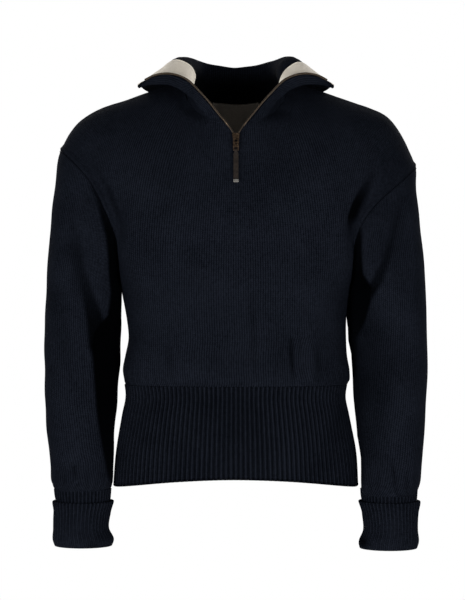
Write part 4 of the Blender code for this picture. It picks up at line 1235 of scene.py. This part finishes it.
def leather(name, dark, light, thread):
    """Dark leather: fine grain, worn places, and a line of stitches along each edge."""
    finish, tree, shader = nodes_of(name)
    u, v = knit_place(tree)
    place = coordinates(tree, "Object")
    cells = tree.nodes.new("ShaderNodeTexVoronoi")
    cells.inputs["Scale"].default_value = 1500.0
    tree.links.new(place, cells.inputs["Vector"])
    wear = noise(tree, place, 260.0, 4.0, 0.6)
    tone = calc(tree, "MULTIPLY_ADD", cells.outputs["Distance"], 0.35, calc(tree, "MULTIPLY", wear, 0.75))
    colour = ramp(tree, tone, ((0.35, dark), (0.75, light)))
    edge = own_value(tree, "edge")
    line = calc(tree, "COMPARE", edge, 0.0011, 0.00022)
    run = calc(tree, "FRACT", calc(tree, "DIVIDE", v, 0.0022))
    dash = calc(tree, "MULTIPLY", line, calc(tree, "LESS_THAN", run, 0.68))
    tree.links.new(mixed(tree, dash, colour, thread), shader.inputs["Base Color"])
    shader.inputs["Roughness"].default_value = 0.60
    shader.inputs["Specular IOR Level"].default_value = 0.10
    height = calc(tree, "MULTIPLY_ADD", cells.outputs["Distance"], 0.6, wear)
    bumped(tree, calc(tree, "MULTIPLY_ADD", dash, 1.2, height), 0.00015, 0.8, shader)
    return finish


NAVY_DARK = (0.0010, 0.0014, 0.0024)
NAVY_LIGHT = (0.0104, 0.0126, 0.0190)
# Near black colour of the painted shade in creases, seams, rib grooves, hollows and inner faces
NAVY_PAINTED_SHADE = (0.0001, 0.0002, 0.0003)
KNITTED = wool("navy_knit", NAVY_DARK, NAVY_LIGHT, 0.0009)

# Woven cloths: darkest and lightest thread, sewing thread, then the weave's pitch, the line of
# stitches' distance from the edge and the length of a stitch
COTTON_COLOURS = ((0.68, 0.61, 0.51), (0.86, 0.81, 0.72), (0.74, 0.68, 0.58))
TAPE_COLOURS = ((0.026, 0.020, 0.015), (0.055, 0.043, 0.033), (0.07, 0.055, 0.04))
LABEL_COLOURS = ((0.12, 0.108, 0.092), (0.22, 0.195, 0.172), (0.27, 0.24, 0.21))
COTTON = woven("cream_cotton", *COTTON_COLOURS, 0.0011, 0.0042, 0.0034)
TAPE = woven("taupe_tape", *TAPE_COLOURS, 0.0007, 0.0008, 0.0020)
WOVEN = woven("taupe_label", *LABEL_COLOURS, 0.0008, 0.0022, 0.0026)
BRASS = metal("antique_brass", (0.030, 0.020, 0.013), (0.080, 0.053, 0.034), (0.24, 0.17, 0.11), 0.42)
STEEL = metal("bright_metal", (0.38, 0.36, 0.33), (0.58, 0.56, 0.52), (0.74, 0.72, 0.68), 0.30)
LEATHER = leather("brown_leather", (0.006, 0.0045, 0.0038), (0.018, 0.013, 0.010), (0.014, 0.010, 0.008))


# Body

FRONT_CORNERS = (0, SHOULDER_COLUMNS, MIDDLE, NECK_END, COLUMNS)
BACK_CORNERS = (0, SHOULDER_COLUMNS, NECK_END, COLUMNS)


def knit_of(grid, middle):
    """A point's place in the knitting: metres across from the middle and up from the bottom."""
    return np.stack([arc(grid, 1, middle), arc(grid, 0, 0)], axis=-1)


def dress(thing, finish, body, node=None):
    """Gives a piece its finish and its body, and the place of its solid if it has one."""
    thing.data.materials.append(finish)
    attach(thing, body)
    if node:
        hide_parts(node)


def finish_cloth(thing, finish, node):
    """Gives a cloth its finish and its solid's place."""
    dress(thing, finish, "garment", node)


for word, outer, steps, corners, meet in (
    ("front", front + front_shift, front_step, FRONT_CORNERS, GAP / 2),
    ("back", back + back_shift, back_step, BACK_CORNERS, -GAP / 2),
):
    fine = cornered(outer, BODY_FINE, corners)
    inside = cornered(outer + steps, BODY_FINE, corners)
    from_left = arc(fine, 1, 0)
    beside = np.minimum(from_left, -arc(fine, 1, -1))
    below_top = -arc(fine, 0, -1)
    armhole = clipped((np.arange(len(fine)) / BODY_FINE[0] - LOWER) / WELT_ROWS)[:, None]
    above = arc(fine, 0, 0)
    fine, inside, hollow, sink = worn(fine, inside, word, BODY_DRIFT, from_left, above, beside)
    relief = armhole * welt(beside) + sewn(beside, BODY_SINK_SHARE) + sewn(below_top, BODY_SINK_SHARE)
    fine, inside, _ = lifted(fine, inside, relief + sink)
    meeting = np.zeros_like(fine)
    meeting[..., 1] = meet * bell(below_top, SEAM_WIDTH)
    fine = fine + meeting
    inside = inside + meeting
    # Painted shade in the grooves of the side and armhole seams
    hollow = np.maximum(hollow, BODY_SEAM_SHADE[0] * bell(beside, BODY_SEAM_SHADE[1]))
    values = {"knit": knit_of(fine, MIDDLE * BODY_FINE[1]), "hollow": hollow}
    thing = cloth_mesh("knit_" + word, fine, inside, False, (), values)
    finish_cloth(thing, KNITTED, "body_" + word)


# Sleeves

for hand, word in HANDS:
    rings = sleeves[hand]
    steps = sleeve_steps[hand]
    steps[-1] = level(steps[-1])
    fine = refined(rings, SLEEVE_FINE, True)
    inside = refined(rings + steps, SLEEVE_FINE, True)
    out = outward(fine, inside)
    below = arc(fine, 0, 0)
    above = -arc(fine, 0, -1)
    around = arc(fine, 1, 0)
    fine, inside, hollow, sink = worn(fine, inside, word, SLEEVE_DRIFT, around, above, below)
    relief = sewn(above) + sink - SLEEVE_SINK * bell(below, SLEEVE_SINK_WIDTH)
    fine, inside, _ = lifted(fine, inside, relief * clipped(below / SEAM_HOLD))
    # Painted shade in the groove of the armhole seam
    hollow = np.maximum(hollow, SLEEVE_SEAM_SHADE[0] * bell(below, SLEEVE_SEAM_SHADE[1]))
    heights, shifts = MM * np.array(LEANS[hand])[::-1].T
    near_body = clipped((LEAN_FROM - np.abs(fine[..., 0])) / LEAN_REACH)
    lean = np.interp(fine[..., 2], heights, shifts) * eased(near_body)
    low = clipped(1 + arc(fine, 0, -1) / OVERLAP_REACH) ** 2
    move = np.stack([-hand * lean, np.zeros_like(lean), -OVERLAP[hand] * low], axis=-1)
    move += out * (PUFF * OVERLAP[hand] * low)[..., None] * PUFF_WAY
    fine = fine + move
    inside = inside + move
    values = {"knit": knit_of(fine, UPPER_ROWS * SLEEVE_FINE[1]), "hollow": hollow}
    thing = cloth_mesh("knit_sleeve_" + word, fine, inside, True, (), values)
    finish_cloth(thing, KNITTED, "sleeve_" + word)


# Collar and the cotton facings behind its zip

neck_fine = refined(collar, COLLAR_FINE, False)
neck_inside = refined(collar + collar_step, COLLAR_FINE, False)
above = arc(neck_fine, 0, 0)
below_edge = -arc(neck_fine, 0, -1)
push = sewn(above) + SELVEDGE_HEIGHT * np.exp(-((below_edge / SELVEDGE_WIDTH) ** 4))
push += uneven(neck_fine, *SWELLS["collar"])
neck_outer, neck_lining, hollow = lifted(neck_fine, neck_inside, push)
up_collar = unit(neck_outer[1] - neck_outer[0])
meeting = -NECK_OVERLAP * up_collar * bell(above, SEAM_WIDTH)[..., None]
neck_outer = neck_outer + meeting
neck_lining = neck_lining + meeting
values = {"knit": knit_of(neck_outer, neck_outer.shape[1] // 2), "hollow": hollow}

# The collar's inner face gets painted shade down in the neck and none where it is rolled outward
NECK_SHADE = 0.9
NECK_SHADE_END = 0.4
NECK_SHADE_FADE = 4.0
up = np.linspace(0, 1, len(neck_outer))
inside_shade = np.clip(NECK_SHADE_FADE * (NECK_SHADE_END - up), 0, NECK_SHADE)[:, None]
free = ("top", "start", "end")
thing = cloth_mesh("knit_collar", neck_outer, neck_lining, False, free, values, inside_shade)
finish_cloth(thing, KNITTED, "collar")


ALL_EDGES = ("bottom", "top", "start", "end")

# The line of stitches in a woven edge: distance from it, width, and depth as a share of the cloth
EDGE_STITCH_PLACE = 0.004
EDGE_STITCH_WIDTH = 0.0012
EDGE_STITCH_DEPTH = 0.3


def edge_distance(grid):
    """Distance of each point from the nearest edge of its grid."""
    across = np.minimum(arc(grid, 1, 0), -arc(grid, 1, -1))
    along = np.minimum(arc(grid, 0, 0), -arc(grid, 0, -1))
    return np.minimum(across, along)


def sewn_patch(name, grid, out, thickness):
    """A thin woven piece that lies on the inner face of a knitted wall."""
    near = grid - out * GAP
    edge = edge_distance(near)
    rise = thickness - EDGE_STITCH_DEPTH * thickness * bell(edge - EDGE_STITCH_PLACE, EDGE_STITCH_WIDTH)
    face = near - out * rise[..., None]
    values = {"knit": knit_of(near, 0), "edge": edge}
    return cloth_mesh(name, face, near, False, ALL_EDGES, values)


def narrowed(grid, shares):
    """The grid with each row cut or stretched to its share of the full width, from its first column."""
    share = curve_through(np.linspace(0, 1, len(shares)), shares, np.linspace(0, 1, len(grid)))[:, 0]
    places = np.arange(FACING_COLUMNS * COLLAR_FINE[1])
    keys = np.arange(grid.shape[1])
    return np.array([curve_through(keys, row, places * part) for row, part in zip(grid, share)])


lining_out = outward(neck_outer, neck_lining)
first_row = round(FACING_FOOT * COLLAR_FINE[0])
for word, columns in (("left", slice(1, None)), ("right", slice(-2, 0, -1))):
    grid = narrowed(neck_lining[first_row:, columns], FACING_SHARES[word])
    out = narrowed(lining_out[first_row:, columns], FACING_SHARES[word])
    thing = sewn_patch("cotton_facing_" + word, grid, unit(out), FACING)
    finish_cloth(thing, COTTON, "facing_" + word)

rows = slice(-LABEL_ROWS - 1, None)
columns = slice(MIDDLE - LABEL_COLUMNS, MIDDLE + LABEL_COLUMNS + 1)
grid = refined((back + back_shift + back_step)[rows, columns][::-1], BODY_FINE, False)[1:]
out = refined(back_out[rows, columns][::-1], BODY_FINE, False)[1:]
thing = sewn_patch("woven_label", grid, out, LABEL)
finish_cloth(thing, WOVEN, "label")


# Ribs of hem and cuffs

def rib_profile(place):
    """Height of the ribs along a row: round tops and narrow grooves, from 0.5 to -0.5."""
    wave = 0.5 + 0.5 * np.cos(2 * np.pi * place)
    return wave**RIB_ROUNDNESS - 0.5


def rib_knit(place, grid):
    """The knitting's coordinates on ribs: one column of stitches on each top, one in each groove."""
    across = np.broadcast_to((place + 0.25) * 2 * WALE, grid.shape[:2])
    return np.stack([across, arc(grid, 0, 0)], axis=-1)


for word, side, rise in (("front", FRONT, HEM_RISE_FRONT), ("back", BACK, HEM_RISE_BACK)):
    depth_column = 1 if side == FRONT else 2
    heights = RIB_SECTIONS[:, 0]
    levels = np.linspace(heights[0], heights[-1], RIB_ROWS)
    table = curve_through(-heights, RIB_SECTIONS[:, 1:], -levels)
    outer = []
    inner = []
    for height, sizes in zip(levels, table):
        line = half_section(sizes[0], sizes[depth_column], height, side, RIB_STEPS * HEM_RIBS)
        out = np.cross(unit(np.gradient(line, axis=0)), (0, 0, 1)) * -side
        out[0] = (LEFT, 0, 0)
        out[-1] = (RIGHT, 0, 0)
        down = (heights[0] - height) / (heights[0] - heights[-1])
        line[:, 2] += rise * down**2 * (1 - (line[:, 0] / sizes[0]) ** 2)
        line[:, 2] -= GAP / 2 if height == levels[0] else 0
        line[(0, -1), 1] = side * GAP / 2
        place = np.arange(len(line)) / RIB_STEPS
        lift = RIB_HEIGHT * rib_profile(place)[:, None] * out
        outer.append(line + lift)
        inner.append(line + lift - KNIT * out)
    outer = np.array(outer)[::-1]
    inner = np.array(inner)[::-1]
    push = uneven(outer, *SWELLS["hem_" + word]) * clipped(-arc(outer, 0, -1) / SWELL_EDGE)
    outer, inner, hollow = lifted(outer, inner, push)
    # Painted shade in the grooves between the ribs
    groove = np.broadcast_to(0.5 - rib_profile(place), hollow.shape)
    values = {"knit": rib_knit(place, outer), "hollow": np.maximum(groove**GROOVE_SHADE_SHARPNESS, hollow)}
    thing = cloth_mesh("rib_hem_" + word, outer, inner, False, ("bottom",), values)
    finish_cloth(thing, KNITTED, "hem_rib_" + word)


CUFF_POINTS = CUFF_RIB_STEPS * CUFF_RIBS
cuff_turn = np.linspace(0, 2 * np.pi, CUFF_POINTS, endpoint=False)
cuff_out = np.column_stack([np.cos(cuff_turn), np.sin(cuff_turn), np.zeros(CUFF_POINTS)])
cuff_place = np.arange(CUFF_POINTS) / CUFF_RIB_STEPS
cuff_profile = rib_profile(cuff_place)


def cuff_rings(keys, rows, hand):
    """Smooth rings through a cuff's rows, its turned back part worn a little short.

    The result is their points, their heights and how high their ribs are.
    """
    rows = curve_through(keys, rows, np.linspace(keys[0], keys[-1], CUFF_LEVELS))
    heights, middles, half_widths, half_depths, ribs = rows.T
    worn_short = CUFF_TURN + (heights - CUFF_TURN) * CUFF_SHORTER[hand]
    heights = np.where(heights < CUFF_TURN, worn_short, heights)
    sizes = np.column_stack([half_widths, half_depths, np.zeros(CUFF_LEVELS)])
    centres = np.column_stack([hand * middles, np.full(CUFF_LEVELS, CUFF_DEPTH_MIDDLE), heights])
    return cuff_out * sizes[:, None] + centres[:, None], heights[:, None], ribs[:, None]


for hand, word in HANDS:
    ribbed = CUFF_ROWS[:CUFF_RIBBED_ROWS]
    lining = CUFF_ROWS[:CUFF_RIBBED_ROWS - 1:-1]
    outer, heights, ribs = cuff_rings(lengths_along(ribbed[:, (0, 2)]), ribbed, hand)
    inner, _, _ = cuff_rings(-lining[:, 0], lining, hand)
    fade = np.clip(1 - (CUFF_TURN - heights) / CUFF_FADE, CUFF_LEAST, 1)
    outer = outer + (ribs * CUFF_RELIEF * fade * cuff_profile)[..., None] * cuff_out
    inner = inner + INNER_RIB * cuff_profile[:, None] * cuff_out
    push = uneven(outer, *SWELLS["cuff_" + word])
    push *= clipped(arc(outer, 0, 0) / SWELL_EDGE) * clipped(-arc(outer, 0, -1) / CUFF_SWELL_EDGE)
    outer = outer + cuff_out * push[..., None]
    # Painted shade in the grooves between the ribs, fainter where the ribs flatten
    groove = (0.5 - cuff_profile) * fade
    spot, size, strength = CUFF_SHADOWS[hand]
    shadow = strength * bell(np.linalg.norm(outer[..., ::2] - spot, axis=-1), size)
    hollow = np.maximum(CUFF_GROOVE_SHADE * groove**GROOVE_SHADE_SHARPNESS, shadow)
    values = {"knit": rib_knit(cuff_place, outer), "hollow": hollow}
    thing = cloth_mesh("rib_cuff_" + word, outer, inner, True, (), values)
    finish_cloth(thing, KNITTED, "cuff_" + word)


# Zip tapes and teeth

TOOTH_PITCH = 0.0019
TOOTH_LONG = 0.0020
TOOTH_TALL = 0.0017
TOOTH_WIDE = 0.0011
TAPE_STEPS = 120
TAPE_COLUMNS = 4
TEETH_LINE = 0.75

# A tooth's section in eight corners (along the tape and out of it), and its four rings from the
# tape outward: place, width and height
TOOTH_SECTION = (
    (-0.5, -0.3), (-0.5, 0.3), (-0.3, 0.5), (0.3, 0.5),
    (0.5, 0.3), (0.5, -0.3), (0.3, -0.5), (-0.3, -0.5),
)
TOOTH_RINGS = ((-0.5, 0.8, 0.7), (-0.3, 1.0, 1.0), (0.2, 1.0, 1.0), (0.5, 0.6, 0.6))

# How far the first tooth stands from the tape's end, in pitches: the two sides interlock
TEETH_START = {LEFT: 0.5, RIGHT: 1.0}


def tooth_faces():
    """The faces of one tooth: the four-sided ones round it, and its two ends."""
    sides = len(TOOTH_SECTION)
    last = sides * (len(TOOTH_RINGS) - 1)
    faces = []
    for start in range(0, last, sides):
        for k in range(sides):
            after = (k + 1) % sides
            faces.append([start + k, start + after, start + sides + after, start + sides + k])
    faces.append(list(range(sides - 1, -1, -1)))
    faces.append(list(range(last, last + sides)))
    return faces


def tooth_points(place, across, run, face):
    """The points of one tooth: a small block with chamfered sides and a nose at its outer end."""
    points = []
    for along, wide, tall in TOOTH_RINGS:
        middle = place + across * along * TOOTH_LONG
        for side, up in TOOTH_SECTION:
            points.append(middle + run * side * wide * TOOTH_WIDE + face * up * tall * TOOTH_TALL)
    return points


def teeth_row(name, spots):
    """One object with a tooth at each spot: its place and its three directions."""
    points = []
    faces = []
    for spot in spots:
        start = len(points)
        points.extend(tooth_points(*spot.reshape(4, 3)))
        faces.extend([[start + k for k in side] for side in tooth_faces()])
    mesh = bpy.data.meshes.new(name)
    mesh.from_pydata([tuple(point) for point in points], [], faces)
    mesh.update()
    return placed(name, mesh)


mouth = (front + front_shift)[-1]
for hand, word in HANDS:
    column = EDGE[hand]
    near_column = column - int(hand)
    slit = mouth[MIDDLE + int(hand)] - mouth[MIDDLE]
    start = mouth[MIDDLE] + slit * (SLIDER_TOP - SLIT_END[2]) / slit[2]
    steps = np.vstack([front_step[-1, MIDDLE], collar_step[:-1, column]])
    line = np.vstack([start, collar[:-1, column]]) + steps / 2
    away = unit(np.vstack([(-hand, 0, 0), collar[:-1, column] - collar[:-1, near_column]]))
    table = smooth_line(np.column_stack([line, steps, away * TAPE_WIDTH]), TAPE_STEPS)
    line = table[:, :3]
    run = unit(np.gradient(line, axis=0))
    face = unit(table[:, 3:6])
    across = unit(np.cross(run, face))
    across *= np.sign(np.sum(across * table[:, 6:], axis=1, keepdims=True))
    widths = np.linspace(GAP, GAP + TAPE_WIDTH, TAPE_COLUMNS)
    grid = line[:, None] + across[:, None] * widths[None, :, None]
    half = face[:, None] * TAPE_THICKNESS / 2
    values = {"knit": knit_of(grid, 0), "edge": edge_distance(grid)}
    thing = cloth_mesh("woven_tape_" + word, grid - half, grid + half, False, ALL_EDGES, values)
    dress(thing, TAPE, "garment", "zip_tape_" + word)
    along = lengths_along(line)
    places = (np.arange(int(along[-1] / TOOTH_PITCH)) + TEETH_START[hand]) * TOOTH_PITCH
    spots = curve_through(along, np.hstack([line, across, run, face]), places)
    spots[:, :3] += spots[:, 3:6] * (GAP + TAPE_WIDTH * TEETH_LINE)
    dress(teeth_row("zip_teeth_" + word, spots), BRASS, "garment")


# Leather pull: one strip folded through the plate's window, its two ends together in the ferrule

STRIP_STEPS = 160
STRIP_SECTION = 14
STRIP_SQUARENESS = 0.35
STRIP_FULLNESS = 0.96
STRIP_CORE = 0.5

# Its loop: how round its bend is, how far below the plate's foot its halves part and spread, how
# far below the window's top it bends, and where it narrows to pass the window
LOOP_ROUNDING = 0.7
LOOP_PART_BELOW = 0.0035
LOOP_SPREAD_BELOW = 0.0002
LOOP_BEND_BELOW = 0.0008
NARROWING_FROM = 0.004
NARROWING_LENGTH = 0.003


def pull_point(y, z):
    """A place behind and above the pull's hinge, turned with the hanging plate."""
    fall = unit(front[-2, MIDDLE] - front[-1, MIDDLE])
    chest_turn = np.arctan2(fall[1], -fall[2])
    chest_out = np.array([0, -np.cos(chest_turn), -np.sin(chest_turn)])
    slider = front[-1, MIDDLE] + fall * (SLIDER_TOP - SLIT_END[2]) / fall[2]
    hinge = slider + fall * HINGE_DROP + chest_out * HINGE_OUT
    turn = chest_turn + np.radians(PULL_TILT)
    return hinge + np.array([0, np.cos(turn) * y - np.sin(turn) * z, np.sin(turn) * y + np.cos(turn) * z])


bar = PULL_THICKNESS / 2
plate_foot = bar - PULL_LENGTH
strap_top = plate_foot - LEATHER_CLEAR
strap_foot = strap_top - STRAP_LENGTH
loop_half = LOOP_DEPTH / 2 - bar - LEATHER_CLEAR
loop_middle = LOOP_DEPTH / 2 - loop_half / 2
half_strip = STRAP_THICKNESS / 4
path = [
    (-half_strip, strap_foot),
    (-half_strip, strap_foot + 0.5 * STRAP_LENGTH),
    (-half_strip, strap_top - LOOP_PART_BELOW),
    (-loop_middle, strap_top - LOOP_SPREAD_BELOW),
    (-loop_middle, -WINDOW_FOOT),
    (-LOOP_ROUNDING * loop_middle, -LOOP_TOP - LOOP_BEND_BELOW),
    (0.0, -LOOP_TOP - loop_half / 2),
]
path += [(-y, z) for y, z in path[-2::-1]]
strip = smooth_line(np.array(path), STRIP_STEPS)
way = unit(np.gradient(strip, axis=0))
square = np.column_stack([-way[:, 1], way[:, 0]])
near_loop = clipped((strip[:, 1] - strap_top + NARROWING_FROM) / NARROWING_LENGTH)
half_width = STRAP_WIDTH / 2 + (LOOP_WIDTH - STRAP_WIDTH) / 2 * near_loop
full_thick = half_strip * STRIP_FULLNESS
half_thick = full_thick + (loop_half / 2 - full_thick) * near_loop
turn = np.linspace(0, 2 * np.pi, 2 * STRIP_SECTION, endpoint=False)
section_x = np.sign(np.cos(turn)) * np.abs(np.cos(turn)) ** STRIP_SQUARENESS
section_y = np.sign(np.sin(turn)) * np.abs(np.sin(turn)) ** STRIP_SQUARENESS
rings = []
edges = []
for place, out, wide, thick in zip(strip, square, half_width, half_thick):
    ring = []
    for x, y in zip(section_x * wide, section_y * thick):
        ring.append(pull_point(place[0] + out[0] * y, place[1] + out[1] * y) + np.array([x, 0, 0]))
    rings.append(ring)
    edges.append(wide - np.abs(section_x) * wide)
rings = np.array(rings)
centre = rings.mean(axis=1, keepdims=True)
values = {"knit": knit_of(rings, 0), "edge": np.array(edges)}
thing = cloth_mesh("leather_pull", rings, centre + (rings - centre) * STRIP_CORE, True, (), values)
dress(thing, LEATHER, "pull", "pull_strap")

for node, finish in (("zip_slider", BRASS), ("zip_pull", BRASS), ("pull_tip", STEEL)):
    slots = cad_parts[node].data.materials
    slots.clear()
    slots.append(finish)


# Camera, light and floor

def lamp(name, place, aim, size, power):
    """A soft square light."""
    data = bpy.data.lights.new(name, "AREA")
    data.shape = "SQUARE"
    data.size = size
    data.energy = power
    thing = placed(name, data)
    thing.location = place
    direction = np.array(aim, float) - np.array(place, float)
    yaw = np.arctan2(direction[0], direction[1])
    pitch = np.arctan2(direction[2], np.hypot(direction[0], direction[1]))
    thing.rotation_euler = (np.pi / 2 + pitch, 0, -yaw)


CAMERA_DISTANCE = 3.0
CAMERA_PLACE = (-0.005, -CAMERA_DISTANCE, -0.3075)
camera = bpy.data.cameras.new("camera")
camera.lens = 120.0
camera.sensor_width = 36.0
eye = placed("camera", camera)
eye.location = CAMERA_PLACE
eye.rotation_euler = (np.pi / 2, 0, 0)
bpy.context.scene.camera = eye

# Lights: name, place, the point that they face, size and power
LAMPS = (
    ("key", (-1.9, -2.8, -0.70), (0, 0, -0.36), 1.3, 82.0),
    ("fill", (1.8, -2.8, -0.70), (0, 0, -0.36), 1.3, 71.0),
    ("back_left", (-1.3, 2.0, 1.2), (0, 0, -0.2), 1.4, 60.0),
    ("back_right", (1.3, 2.0, 1.2), (0, 0, -0.2), 1.4, 60.0),
)
for values in LAMPS:
    lamp(*values)

FLOOR_HEIGHT = -1.20
FLOOR_RADIUS = 2.4
FLOOR_CORNERS = 96
turn = np.linspace(0, 2 * np.pi, FLOOR_CORNERS, endpoint=False)
rim = [(FLOOR_RADIUS * np.cos(a), FLOOR_RADIUS * np.sin(a), FLOOR_HEIGHT) for a in turn]
mesh = bpy.data.meshes.new("floor")
mesh.from_pydata(rim, [], [range(FLOOR_CORNERS)])
floor = placed("floor", mesh)
paper, tree, shader = nodes_of("paper")
shader.inputs["Base Color"].default_value = (0.9, 0.9, 0.9, 1.0)
shader.inputs["Roughness"].default_value = 0.9
mesh.materials.append(paper)

SKY_LIGHT = 0.14
world = bpy.data.worlds.new("studio")
world.use_nodes = True
tree = world.node_tree
path_node = tree.nodes.new("ShaderNodeLightPath")
strength = calc(tree, "MULTIPLY_ADD", path_node.outputs["Is Camera Ray"], 1.0 - SKY_LIGHT, SKY_LIGHT)
tree.nodes["Background"].inputs["Color"].default_value = (1.0, 1.0, 1.0, 1.0)
tree.links.new(strength, tree.nodes["Background"].inputs["Strength"])
bpy.context.scene.world = world
bpy.context.scene.view_settings.view_transform = "Standard"
